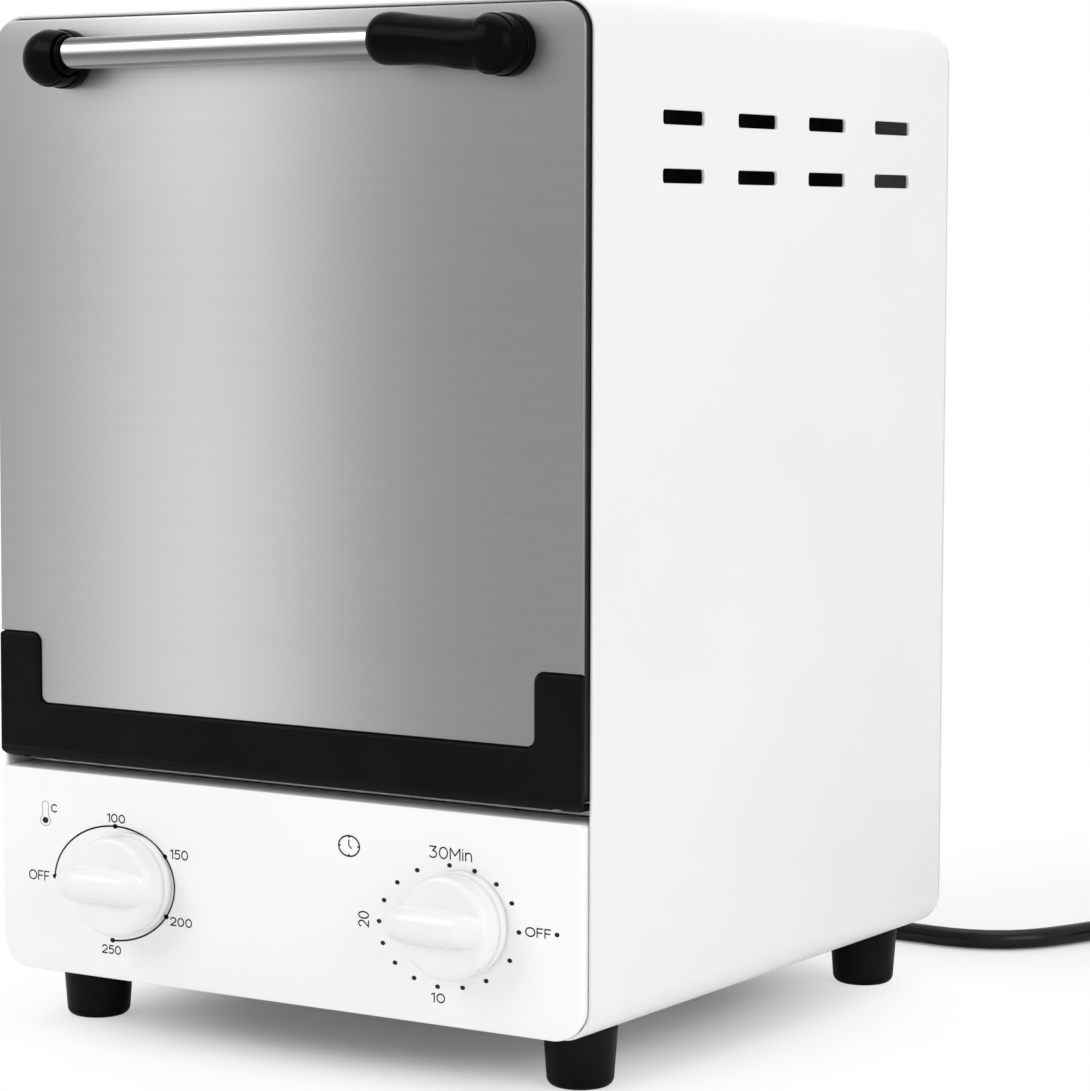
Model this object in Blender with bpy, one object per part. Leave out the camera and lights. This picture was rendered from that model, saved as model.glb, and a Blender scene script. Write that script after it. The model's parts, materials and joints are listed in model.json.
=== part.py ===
"""Dry-heat bench steriliser: a rounded sheet-metal case on four feet, with a drop-down door,
a heated chamber with a sliding tray, two control knobs and a mains lead.

The model is drawn in the case's own frame, in metres: x = 0 is the middle of the case, y = 0 is its
front edge with y growing to the back, and z = 0 is its bottom. The empty case_datum then stands the
case on its feet and puts the origin under the middle of the whole product.
"""

from math import atan2, cos, pi, radians, sin, sqrt, tan

import bmesh
import bpy
from mathutils import Matrix, Vector
from mathutils.geometry import tessellate_polygon

MM = 0.001

# Case
CASE_WIDTH = 220 * MM
CASE_DEPTH = 225 * MM
CASE_HEIGHT = 300 * MM
CASE_RADIUS = 10 * MM
SHEET = 1.0 * MM
GAP = 0.3 * MM
OVERRUN = 2 * MM
HEM_THICKNESS = 1.4 * MM
HEM_LENGTH = 5 * MM
HEM_SOFTENING = 0.5 * MM
REAR_LIP = 9 * MM
BOTTOM_FLANGE = 32 * MM

# Side vents
VENT_LENGTH = 24.2 * MM
VENT_HEIGHT = 4.25 * MM
VENT_CORNER = 1.0 * MM
VENT_FRONT_SPACE = 49.7 * MM
VENT_REAR_SPACE = 42.1 * MM
VENT_TOP_SPACE = 33.3 * MM
VENT_COLUMNS = 4
VENT_PITCH_Z = 17.05 * MM
VENT_ROWS = 2

# Feet
FOOT_HEIGHT = 18.5 * MM
FOOT_TOP_RADIUS = 11.2 * MM
FOOT_LOW_RADIUS = 10.1 * MM
FOOT_EDGE = 2.6 * MM
FOOT_SIDE_INSET = 18.5 * MM
FOOT_FRONT_INSET = 23.5 * MM
FOOT_REAR_INSET = 21.2 * MM
FOOT_SCREW_SEAT = 10 * MM
FOOT_RECESS_RADIUS = 5 * MM
FOOT_SCREW_RADIUS = 1.9 * MM
FOOT_SCREW_HEAD_RADIUS = 4.2 * MM
FOOT_SCREW_HEAD = 2.6 * MM
FOOT_SCREW_TIP = 3 * MM
SCREW_CROWN_SHARE = 0.65

# Base plate
BASE_SIDE_SPACE = 11.5 * MM
BASE_FRONT_Y = 14 * MM
BASE_REAR_GAP = 1.5 * MM
BASE_UPSTAND = 12 * MM
BASE_FRONT_UPSTAND = 4.5 * MM
BASE_VENT_LENGTH = 46 * MM
BASE_VENT_HEIGHT = 4 * MM
BASE_VENT_PITCH = 14 * MM
BASE_VENT_ROWS = 6
BASE_VENT_HALF_SPREAD = 34 * MM

# Back panel
BACK_INSET = 0.4 * MM
BACK_VENT_LENGTH = 52 * MM
BACK_VENT_HEIGHT = 4 * MM
BACK_VENT_PITCH = 10 * MM
BACK_VENT_ROWS = 6
BACK_VENT_HALF_SPREAD = 36 * MM
BACK_VENT_TOP_SPACE = 32 * MM
BACK_SCREW_INSET = 4.8 * MM
BACK_SCREW_LOW_Z = 30 * MM
BACK_SCREW_ROWS = 3
BACK_SCREW_RADIUS = 1.5 * MM
BACK_SCREW_HEAD_RADIUS = 3.2 * MM
BACK_SCREW_HEAD = 1.8 * MM
BACK_SCREW_LENGTH = 6 * MM

# Control panel
FRONT_SIDE_GAP = 1.7 * MM
PANEL_PROUD = 3.0 * MM
PANEL_LOW_GAP = 0.4 * MM
PANEL_TOP_Z = 64.2 * MM
PANEL_SHEET = 1.2 * MM
PANEL_DEPTH = 14 * MM
PANEL_EDGE = 0.9 * MM
PANEL_LOW_CORNER = 8 * MM
PANEL_TOP_CORNER = 1.8 * MM

# Door
DOOR_PROUD = 3.0 * MM
DOOR_PANEL_GAP = 2.9 * MM
DOOR_TOP_GAP = 0.4 * MM
DOOR_CORNER = 8.2 * MM
DOOR_REAR_Y = 8.5 * MM
DOOR_SKIN_EDGE = 0.4 * MM
TRIM_PROUD = 1.0 * MM
TRIM_THICKNESS = 2.0 * MM
TRIM_BAR_HEIGHT = 17.8 * MM
TRIM_TOWER_HEIGHT = 39.9 * MM
TRIM_TOWER_WIDTH = 16 * MM
TRIM_CORNER = 3 * MM
TRIM_TOP_CORNER = 1.0 * MM
TRIM_EDGE = 0.8 * MM
TRIM_ROUNDING = 4.5 * MM
TRIM_LIP_DEPTH = 7.6 * MM
TRIM_LIP_HEIGHT = 2.4 * MM
PLUG_SIDE_GAP = 6 * MM
PLUG_MARGIN = 5 * MM
PLUG_DEPTH = 4 * MM
PLUG_SLOPE = 3 * MM
PLUG_CORNER = 10 * MM

# Hinges and stay arms
HINGE_Y = 2.5 * MM
HINGE_RISE = 6.2 * MM
PIN_RADIUS = 1.7 * MM
PIN_HEAD_RADIUS = 2.8 * MM
PIN_HEAD = 1.2 * MM
EAR_SIDE_SPACE = 13.5 * MM
EAR_THICKNESS = 3 * MM
EAR_RADIUS = 3.5 * MM
EAR_FLANGE_WIDTH = 9 * MM
EAR_FLANGE_HEIGHT = 9 * MM
EAR_FLANGE_THICKNESS = 2 * MM
ARM_GAP = 1.4 * MM
ARM_THICKNESS = 2 * MM
ARM_RADIUS = 45 * MM
ARM_WIDTH = 6 * MM
ARM_HUB_RADIUS = 3.5 * MM
ARM_HOOK = 3 * MM
ARM_START_ANGLE = 2
ARM_END_ANGLE = 106
ARM_HOOK_ANGLE = 100

# Handle
HANDLE_TOP_SPACE = 11.9 * MM
HANDLE_HALF_SPAN = 81 * MM
HANDLE_OFFSET = 2 * MM
BAR_RADIUS = 4.8 * MM
BAR_STANDOFF = 8.6 * MM
BAR_END_OVERLAP = 4 * MM
POST_RADIUS = 9.1 * MM
POST_LENGTH = 11 * MM
POST_EDGE = 0.5 * MM
POST_DOME = 5 * MM
POST_BASE = 1.8 * MM
POST_STEP = 0.5 * MM
COLLAR_RADIUS = 7 * MM
COLLAR_REACH = 9 * MM
GRIP_LENGTH = 31 * MM
GRIP_RADIUS = 7.75 * MM
GRIP_LIFT = 0.9 * MM
GRIP_SHARES = (
    # share of the length from the free end, share of the radius, share of the lift
    (0.0, 0.80, 1.0),
    (0.03, 0.90, 1.0),
    (0.08, 0.96, 1.0),
    (0.16, 1.0, 1.0),
    (0.34, 0.99, 0.92),
    (0.55, 0.95, 0.62),
    (0.78, 0.93, 0.25),
    (1.0, 0.93, 0.0),
)

# Front frame and chamber
FRAME_Y = 10 * MM
FRAME_FLANGE = 8 * MM
FRAME_PANEL_GAP = 0.4 * MM
CHAMBER_SIDE_SPACE = 20 * MM
CHAMBER_SILL = 16.9 * MM
CHAMBER_TOP_SPACE = 23 * MM
CHAMBER_REAR_SPACE = 25 * MM
CHAMBER_CORNER = 8 * MM
CHAMBER_FLANGE = 5 * MM
LINER_SHEET = 0.8 * MM
RUNNER_PITCH = 40 * MM
RUNNER_COUNT = 3
RUNNER_REACH = 5 * MM
RUNNER_HEIGHT = 6 * MM
SEAL_WIDTH = 4 * MM
SEAL_THICKNESS = 0.9 * MM
SEAL_MARGIN = 0.6 * MM
BLANKET_THICKNESS = 6 * MM
BLANKET_FRONT_Y = 62 * MM
BLANKET_REAR_GAP = 4 * MM
BLANKET_RISE = 14 * MM

# Heaters and temperature sensor
HEATER_RADIUS = 3.3 * MM
HEATER_SIDE_GAP = 30 * MM
HEATER_FRONT_Y = 40 * MM
HEATER_BEND = 22 * MM
HEATER_WALL_GAP = 14 * MM
HEATER_TAIL = 12 * MM
BUSH_RADIUS = 7 * MM
BUSH_NECK_RADIUS = 5.4 * MM
BUSH_LENGTH = 8 * MM
BUSH_COLLAR = 3 * MM
BULB_RADIUS = 2.6 * MM
BULB_NECK_RADIUS = 1.5 * MM
BULB_WALL_GAP = 12 * MM
BULB_TOP_GAP = 41 * MM
BULB_LENGTH = 82 * MM
CAPILLARY_RADIUS = 1.0 * MM
CAPILLARY_BEND = 8 * MM
CAPILLARY_BACK_GAP = 12 * MM
CAPILLARY_DROP = 18 * MM
CAPILLARY_TURN_Y = 62 * MM

# Controls
TEMPERATURE_X = -56 * MM
TIMER_X = 67.5 * MM
KNOB_Z = 31.6 * MM
KNOB_GAP = 0.5 * MM
KNOB_RADIUS = 15.7 * MM
KNOB_HEIGHT = 15 * MM
KNOB_BORE_DEPTH = 4.6 * MM
KNOB_NOSE = 5 * MM
KNOB_RIDGE_HALF_WIDTH = 6.4 * MM
KNOB_RIDGE_ROOT = 5 * MM
KNOB_RIDGE_SINK = 0.2 * MM
KNOB_PROFILE_SHARES = (
    # share of the height, share of the radius, from the base out to the rim and in to the centre
    (0.0, 1.0),
    (0.19, 0.98),
    (0.20, 0.945),
    (0.24, 0.945),
    (0.25, 0.99),
    (0.78, 0.975),
    (0.93, 0.93),
    (1.0, 0.84),
    (0.96, 0.77),
    (0.80, 0.58),
    (0.72, 0.34),
    (0.70, 0.08),
)
RIDGE_SHARES = (
    # share of the knob's radius along the ridge, share of the nose, of the half width and of the height
    (-1.0, 1.0, 0.46, 0.66),
    (-0.93, 0.5, 0.64, 0.78),
    (-0.80, 0.0, 0.72, 0.86),
    (-0.55, 0.0, 0.88, 0.94),
    (-0.2, 0.0, 1.0, 1.0),
    (0.2, 0.0, 1.0, 1.0),
    (0.55, 0.0, 0.9, 0.94),
    (0.82, 0.0, 0.74, 0.84),
)
RIDGE_CROWN_SHARE = 0.7
SHAFT_RADIUS = 3 * MM
SHAFT_START_Y = 6 * MM
THERMOSTAT_SIZE = 36 * MM
THERMOSTAT_DEPTH = 27 * MM
THERMOSTAT_CORNER = 4 * MM
THERMOSTAT_EDGE = 1.5 * MM
TIMER_RADIUS = 22 * MM
TIMER_DEPTH = 32 * MM
TIMER_EDGE = 2 * MM
TIMER_STEP = 3 * MM
BELL_RADIUS = 18 * MM
BELL_DEPTH = 10 * MM
BELL_WALL = 0.9 * MM
BELL_BOSS_RADIUS = 4 * MM
BELL_BOSS = 3 * MM
BELL_ARC_SHARES = (0.32, 0.54, 0.76, 1.0)

# Wiring
BLOCK_LENGTH = 40 * MM
BLOCK_DEPTH = 16 * MM
BLOCK_HEIGHT = 15 * MM
BLOCK_X = -30 * MM
BLOCK_BACK_SPACE = 40 * MM
BLOCK_GROOVE = 2.4 * MM
BLOCK_WAYS = 4
LEAD_RADIUS = 1.5 * MM
LEAD_BEND = 9 * MM
HEATER_LEAD_BEND = 7.5 * MM
LEAD_FLOOR = 10 * MM

# Tray
TRAY_SIDE_GAP = 1.4 * MM
TRAY_WALL_INSET = 4.6 * MM
TRAY_DEPTH = 12 * MM
TRAY_FRONT_Y = 26 * MM
TRAY_REAR_GAP = 3 * MM
TRAY_SHEET = 1.0 * MM
TRAY_CORNER = 9 * MM
TRAY_SLOT_LENGTH = 22 * MM
TRAY_SLOT_HEIGHT = 4 * MM
TRAY_SLOT_COLUMNS = 4
TRAY_SLOT_ROWS = 7
TRAY_RUNNER_COUNT = 1

# Mains lead
CORD_RADIUS = 3.4 * MM
GLAND_X = 14 * MM
GLAND_Z = 24 * MM
GLAND_FLANGE_RADIUS = 8.5 * MM
GLAND_FLANGE = 2 * MM
GLAND_NECK_RADIUS = 6 * MM
GLAND_ROOT_RADIUS = 6.4 * MM
GLAND_TIP_RADIUS = 4.5 * MM
GLAND_LENGTH = 28 * MM
GLAND_RIB_COUNT = 5
GLAND_RIB_DEPTH = 0.6 * MM
COIL_X = 188 * MM
COIL_Y = 365 * MM
COIL_INNER_RADIUS = 30.5 * MM
COIL_PITCH = 7.5 * MM
COIL_RISE = 7.3 * MM
COIL_LAYER_TURNS = 2.25
COIL_LOOP_COUNT = 24
COIL_TAIL = 30 * MM
CORD_LIFT = 0.1 * MM
CORD_SPACING = 14 * MM
CORD_ROUTE = (
    # x, y from the case's back face, height of the cord's middle over the floor
    (18.5, 46, 31),
    (28, 53.5, 18),
    (43, 54.5, 7),
    (58, 51.5, 3.5),
    (74.6, 49.5, 3.5),
    (92.7, 49.1, 3.5),
    (107.3, 54.5, 3.5),
    (117.6, 66.6, 3.5),
    (126.3, 86.5, 3.5),
    (134, 105, 3.5),
)
PLUG_BODY_LENGTH = 34 * MM
PLUG_BODY_RADIUS = 10.2 * MM
PLUG_FACE_RADIUS = 17 * MM
PLUG_BOOT_LENGTH = 16 * MM
PLUG_BOOT_RADIUS = 5 * MM
PLUG_BOOT_SHARES = (
    # share of the boot's length, share of its radius
    (0.0, 0.92),
    (1.0, 1.3),
)
PLUG_BODY_SHARES = (
    # share of the body's length, share of its face's half width, share of its half height
    (0.12, 0.6, 0.8),
    (0.45, 0.75, 0.88),
    (0.85, 1.0, 1.0),
    (1.0, 1.0, 1.0),
)
PLUG_SQUARENESS_SHARE = 0.35
PLUG_PIN_RADIUS = 2.4 * MM
PLUG_PIN_LENGTH = 19 * MM
PLUG_PIN_SPACING = 19 * MM

# Values worked out from the sizes above
CASE_HALF = CASE_WIDTH / 2
FRONT_HALF = CASE_HALF - FRONT_SIDE_GAP
BACK_Y = CASE_DEPTH - SHEET
WRAP_END_Y = BACK_Y - GAP
VENT_PITCH_Y = (CASE_DEPTH - VENT_FRONT_SPACE - VENT_REAR_SPACE) / (VENT_COLUMNS - 1)
VENT_TOP_Z = CASE_HEIGHT - VENT_TOP_SPACE
BACK_VENT_TOP_Z = CASE_HEIGHT - BACK_VENT_TOP_SPACE
BASE_HALF_WIDTH = CASE_HALF - BASE_SIDE_SPACE
DOOR_LOW_Z = PANEL_TOP_Z + DOOR_PANEL_GAP
DOOR_TOP_Z = CASE_HEIGHT - HEM_THICKNESS - DOOR_TOP_GAP
HINGE_Z = DOOR_LOW_Z + HINGE_RISE
EAR_X = CASE_HALF - EAR_SIDE_SPACE
ARM_X = EAR_X + EAR_THICKNESS + ARM_GAP
HANDLE_Z = DOOR_TOP_Z - HANDLE_TOP_SPACE
FRAME_LOW_Z = PANEL_TOP_Z + FRAME_PANEL_GAP
CHAMBER_HALF_WIDTH = CASE_HALF - CHAMBER_SIDE_SPACE
CHAMBER_LOW_Z = DOOR_LOW_Z + CHAMBER_SILL
CHAMBER_TOP_Z = CASE_HEIGHT - CHAMBER_TOP_SPACE
CHAMBER_REAR_Y = CASE_DEPTH - CHAMBER_REAR_SPACE
PLUG_HALF_WIDTH = CHAMBER_HALF_WIDTH - PLUG_SIDE_GAP
RUNNER_LOW_Z = CHAMBER_LOW_Z + RUNNER_PITCH
BLANKET_REAR_Y = CHAMBER_REAR_Y - BLANKET_REAR_GAP
BLANKET_LOW_Z = CHAMBER_LOW_Z + BLANKET_RISE
HEATER_HALF_WIDTH = CHAMBER_HALF_WIDTH - HEATER_SIDE_GAP
BULB_X = CHAMBER_HALF_WIDTH - BULB_WALL_GAP
BULB_Z = CHAMBER_TOP_Z - BULB_TOP_GAP
BULB_FRONT_Y = CHAMBER_REAR_Y - BULB_LENGTH
CAPILLARY_LOW_Z = CHAMBER_LOW_Z - CAPILLARY_DROP
BLOCK_Y = BACK_Y - BLOCK_BACK_SPACE
TRAY_HALF_WIDTH = CHAMBER_HALF_WIDTH - TRAY_SIDE_GAP
PANEL_FRONT_Y = -PANEL_PROUD
PANEL_REAR_Y = PANEL_FRONT_Y + PANEL_SHEET
DOOR_FRONT_Y = -DOOR_PROUD
TRIM_FRONT_Y = DOOR_FRONT_Y - TRIM_PROUD
TRIM_REAR_Y = TRIM_FRONT_Y + TRIM_THICKNESS
PAN_FRONT_Y = max(DOOR_FRONT_Y + SHEET, TRIM_REAR_Y) + GAP
PAN_LOW_Z = DOOR_LOW_Z + TRIM_LIP_HEIGHT + GAP
BAR_Y = DOOR_FRONT_Y - BAR_STANDOFF
TRAY_Z = RUNNER_LOW_Z + TRAY_RUNNER_COUNT * RUNNER_PITCH + GAP
BACK_HEAD_Y = CASE_DEPTH + GAP
FRONT_REACH = -(BAR_Y - GRIP_RADIUS)
REAR_REACH = BACK_HEAD_Y + BACK_SCREW_HEAD
CENTRE_Y = (REAR_REACH - FRONT_REACH) / 2
FLOOR_Z = -FOOT_HEIGHT


def clear_scene():
    for old in list(bpy.data.objects):
        bpy.data.objects.remove(old, do_unlink=True)


def make_material(name, colour, roughness, metallic=0.0):
    material = bpy.data.materials.new(name)
    material.use_nodes = True
    shader = material.node_tree.nodes["Principled BSDF"]
    shader.inputs["Base Color"].default_value = (*colour, 1.0)
    shader.inputs["Roughness"].default_value = roughness
    shader.inputs["Metallic"].default_value = metallic
    return material


def add_empty(name, place, parent=None):
    empty = bpy.data.objects.new(name, None)
    empty.location = place
    empty.parent = parent
    bpy.context.scene.collection.objects.link(empty)
    return empty


# Outlines, as closed runs of points that turn anticlockwise

def fillet(corners, steps=4):
    """Outline through (u, v, radius) corners, each rounded by an arc of its own radius."""
    points = []
    for index, (u, v, radius) in enumerate(corners):
        corner = Vector((u, v))
        if radius <= 0:
            points.append(corner)
            continue
        before = Vector(corners[index - 1][:2])
        after = Vector(corners[(index + 1) % len(corners)][:2])
        back = (before - corner).normalized()
        ahead = (after - corner).normalized()
        half = back.angle(ahead) / 2
        centre = corner + (back + ahead).normalized() * radius / sin(half)
        start = corner + back * radius / tan(half) - centre
        finish = corner + ahead * radius / tan(half) - centre
        turn = atan2(start.x * finish.y - start.y * finish.x, start.dot(finish))
        for step in range(steps + 1):
            angle = turn * step / steps
            across = start.x * cos(angle) - start.y * sin(angle)
            up = start.x * sin(angle) + start.y * cos(angle)
            points.append(centre + Vector((across, up)))
    return points


def rectangle(low_u, high_u, low_v, high_v, radius, steps=4):
    return fillet([(low_u, low_v, radius), (high_u, low_v, radius),
                   (high_u, high_v, radius), (low_u, high_v, radius)], steps)


def slot(u, v, length, height, radius, steps=1):
    return rectangle(u - length / 2, u + length / 2, v - height / 2, v + height / 2, radius, steps)


def circle(u, v, radius, steps=24):
    return [Vector((u + radius * cos(2 * pi * k / steps), v + radius * sin(2 * pi * k / steps)))
            for k in range(steps)]


def inset(points, distance):
    """The outline moved inwards by a distance, or outwards by a negative one."""
    moved = []
    for index, point in enumerate(points):
        before = (point - points[index - 1]).normalized()
        after = (points[(index + 1) % len(points)] - point).normalized()
        bisector = Vector((-before.y - after.y, before.x + after.x))
        moved.append(point + bisector * (2 * distance / bisector.length_squared))
    return moved


def at(points, axis, level):
    """Outline points put into space, at one level along an axis."""
    if axis == "X":
        return [Vector((level, u, v)) for u, v in points]
    if axis == "Y":
        return [Vector((u, level, v)) for u, v in points]
    return [Vector((u, v, level)) for u, v in points]


# Meshes

class Skin:
    """Collects the faces of one closed body."""

    def __init__(self):
        self.points = []
        self.faces = []

    def ring(self, points):
        first = len(self.points)
        self.points.extend(points)
        return list(range(first, first + len(points)))

    def wall(self, ring_a, ring_b):
        count = len(ring_a)
        for k in range(count):
            self.faces.append((ring_a[k], ring_a[(k + 1) % count], ring_b[(k + 1) % count], ring_b[k]))

    def cap(self, ring, holes=()):
        loops = [ring, *holes]
        flat = [index for loop in loops for index in loop]
        for a, b, c in tessellate_polygon([[self.points[index] for index in loop] for loop in loops]):
            self.faces.append((flat[a], flat[b], flat[c]))

    def mesh(self, name):
        mesh = bpy.data.meshes.new(name)
        mesh.from_pydata([tuple(point) for point in self.points], [], self.faces)
        body = bmesh.new()
        body.from_mesh(mesh)
        bmesh.ops.recalc_face_normals(body, faces=body.faces)
        body.to_mesh(mesh)
        body.free()
        return mesh


def loft(name, rings, holes=(), closed=False):
    """A body from rings of points joined in turn. Each hole is a pair of rings, one in each end."""
    skin = Skin()
    loops = [skin.ring(ring) for ring in rings]
    for first, second in zip(loops, loops[1:]):
        skin.wall(first, second)
    if closed:
        skin.wall(loops[-1], loops[0])
        return skin.mesh(name)
    openings = [(skin.ring(first), skin.ring(second)) for first, second in holes]
    for first, second in openings:
        skin.wall(first, second)
    skin.cap(loops[0], [first for first, second in openings])
    skin.cap(loops[-1], [second for first, second in openings])
    return skin.mesh(name)


def plate(name, outline, axis, low, high, holes=(), edge=0, steps=2):
    """A flat plate from low to high, with its edge at low rounded off and holes through it."""
    rings = []
    if edge:
        side = 1 if high > low else -1
        for step in range(steps):
            angle = pi / 2 * step / steps
            sunk = inset(outline, edge * (1 - sin(angle)))
            rings.append(at(sunk, axis, low + side * edge * (1 - cos(angle))))
        rings.append(at(outline, axis, low + side * edge))
    else:
        rings.append(at(outline, axis, low))
    rings.append(at(outline, axis, high))
    pairs = [(at(hole, axis, low), at(hole, axis, high)) for hole in holes]
    return loft(name, rings, pairs)


def turned(name, profile, axis, centre, steps=24, closed=False):
    """A turned body from (level along the axis, radius) points."""
    rings = [at(circle(centre[0], centre[1], radius, steps), axis, level) for level, radius in profile]
    return loft(name, rings, closed=closed)


def joined(name, meshes):
    """Separate bodies gathered in one mesh, for a cutter."""
    body = bmesh.new()
    for mesh in meshes:
        body.from_mesh(mesh)
    result = bpy.data.meshes.new(name)
    body.to_mesh(result)
    body.free()
    return result


def add_part(name, mesh, material, pivot=None, smooth_angle=38):
    """A node: its mesh is drawn in the case's frame and its origin is put on its pivot."""
    if pivot:
        mesh.transform(Matrix.Translation(-pivot.location))
    mesh.materials.append(material)
    mesh.shade_smooth()
    mesh.set_sharp_from_angle(angle=radians(smooth_angle))
    part = bpy.data.objects.new(name, mesh)
    part.parent = pivot or datum
    bpy.context.scene.collection.objects.link(part)
    return part


def add_cutter(name, mesh, pivot=None):
    if pivot:
        mesh.transform(Matrix.Translation(-pivot.location))
    cutter = bpy.data.objects.new(name, mesh)
    cutter.parent = pivot or datum
    cutter.hide_render = True
    cutter.display_type = "WIRE"
    bpy.context.scene.collection.objects.link(cutter)
    return cutter


def boolean(part, other, operation):
    modifier = part.modifiers.new(other.name, "BOOLEAN")
    modifier.operation = operation
    modifier.object = other


def add_tube(name, points, radius, material, resolution=2):
    curve = bpy.data.curves.new(name, "CURVE")
    curve.dimensions = "3D"
    curve.bevel_depth = radius
    curve.bevel_resolution = resolution
    curve.use_fill_caps = True
    spline = curve.splines.new("POLY")
    spline.points.add(len(points) - 1)
    for target, point in zip(spline.points, points):
        target.co = (*point, 1)
    curve.materials.append(material)
    tube = bpy.data.objects.new(name, curve)
    tube.parent = datum
    bpy.context.scene.collection.objects.link(tube)
    return tube


def bent(corners, radius, steps=4):
    """A path of straight runs in space whose corners are bent to one radius."""
    points = [Vector(corners[0])]
    for before, corner, after in zip(corners, corners[1:], corners[2:]):
        corner = Vector(corner)
        back = (Vector(before) - corner).normalized()
        ahead = (Vector(after) - corner).normalized()
        half = back.angle(ahead) / 2
        centre = corner + (back + ahead).normalized() * radius / sin(half)
        start = corner + back * radius / tan(half) - centre
        onward = -back * radius
        sweep = pi - 2 * half
        points += [centre + start * cos(sweep * k / steps) + onward * sin(sweep * k / steps)
                   for k in range(steps + 1)]
    points.append(Vector(corners[-1]))
    return points


def smooth_path(points, spacing):
    """Points read at an even spacing from one smooth curve through the given points."""
    ends = [2 * points[0] - points[1], *points, 2 * points[-1] - points[-2]]
    fine = []
    for a, b, c, d in zip(ends, ends[1:], ends[2:], ends[3:]):
        for k in range(24):
            t = k / 24
            fine.append(0.5 * (2 * b + (c - a) * t + (2 * a - 5 * b + 4 * c - d) * t ** 2
                               + (3 * b - a - 3 * c + d) * t ** 3))
    fine.append(points[-1])
    lengths = [0]
    for first, second in zip(fine, fine[1:]):
        lengths.append(lengths[-1] + (second - first).length)
    count = max(2, round(lengths[-1] / spacing))
    path = []
    reached = 0
    for k in range(count + 1):
        target = lengths[-1] * k / count
        while reached < len(fine) - 2 and lengths[reached + 1] < target:
            reached += 1
        share = (target - lengths[reached]) / (lengths[reached + 1] - lengths[reached])
        path.append(fine[reached].lerp(fine[reached + 1], min(1, share)))
    return path


def path_length(points):
    return sum((second - first).length for first, second in zip(points, points[1:]))


# Case: the wrap is one sheet bent round the top, the sides and the edges of the bottom

def wrap_path(depth):
    """The wrap's path at a depth under its outer face, from one bottom flange round to the other."""
    end = CASE_HALF - BOTTOM_FLANGE
    radius = CASE_RADIUS - depth
    low, high, side = depth, CASE_HEIGHT - depth, CASE_HALF - depth
    closed = fillet([(side, low, radius), (side, high, radius), (-side, high, radius),
                     (-side, low, radius)], steps=6)
    return [Vector((end, low)), *closed, Vector((-end, low))]


def case_wrap():
    section = [
        (HEM_SOFTENING, 0),
        (0, HEM_SOFTENING),
        (0, WRAP_END_Y),
        (REAR_LIP, WRAP_END_Y),
        (REAR_LIP, WRAP_END_Y - SHEET),
        (SHEET, WRAP_END_Y - SHEET),
        (SHEET, HEM_LENGTH),
        (HEM_THICKNESS, HEM_LENGTH),
        (HEM_THICKNESS, 0),
    ]
    paths = [wrap_path(depth) for depth, level in section]
    rings = [[Vector((path[k].x, level, path[k].y)) for path, (depth, level) in zip(paths, section)]
             for k in range(len(paths[0]))]
    wrap = add_part("casing_wrap", loft("casing_wrap", rings), WHITE_PAINT)
    boolean(wrap, side_vents(), "DIFFERENCE")
    boolean(wrap, back_screw_holes(), "DIFFERENCE")
    boolean(wrap, foot_screw_holes(), "DIFFERENCE")


def side_vents():
    slots = []
    for column in range(VENT_COLUMNS):
        for row in range(VENT_ROWS):
            outline = slot(VENT_FRONT_SPACE + column * VENT_PITCH_Y, VENT_TOP_Z - row * VENT_PITCH_Z,
                           VENT_LENGTH, VENT_HEIGHT, VENT_CORNER)
            for side in (-1, 1):
                inner = side * (CASE_HALF - SHEET - OVERRUN)
                slots.append(plate("vent", outline, "X", inner, side * (CASE_HALF + OVERRUN)))
    return add_cutter("side_vent_cutter", joined("side_vent_cutter", slots))


def back_screw_places():
    step = (CASE_HEIGHT - 2 * BACK_SCREW_LOW_Z) / (BACK_SCREW_ROWS - 1)
    x = CASE_HALF - BACK_SCREW_INSET
    return [(side * x, BACK_SCREW_LOW_Z + row * step) for side in (-1, 1) for row in range(BACK_SCREW_ROWS)]


def back_screw_holes():
    drills = [plate("drill", circle(x, z, BACK_SCREW_RADIUS + GAP, 8), "Y",
                    WRAP_END_Y - SHEET - OVERRUN, WRAP_END_Y + OVERRUN)
              for x, z in back_screw_places()]
    return add_cutter("back_screw_cutter", joined("back_screw_cutter", drills))


def foot_places():
    x = CASE_HALF - FOOT_SIDE_INSET
    return {
        "front_left": (-x, FOOT_FRONT_INSET),
        "front_right": (x, FOOT_FRONT_INSET),
        "rear_left": (-x, CASE_DEPTH - FOOT_REAR_INSET),
        "rear_right": (x, CASE_DEPTH - FOOT_REAR_INSET),
    }


def foot_screw_holes():
    drills = [plate("drill", circle(x, y, FOOT_SCREW_RADIUS + GAP, 8), "Z", -OVERRUN, SHEET + OVERRUN)
              for x, y in foot_places().values()]
    return add_cutter("foot_screw_cutter", joined("foot_screw_cutter", drills))


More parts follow.
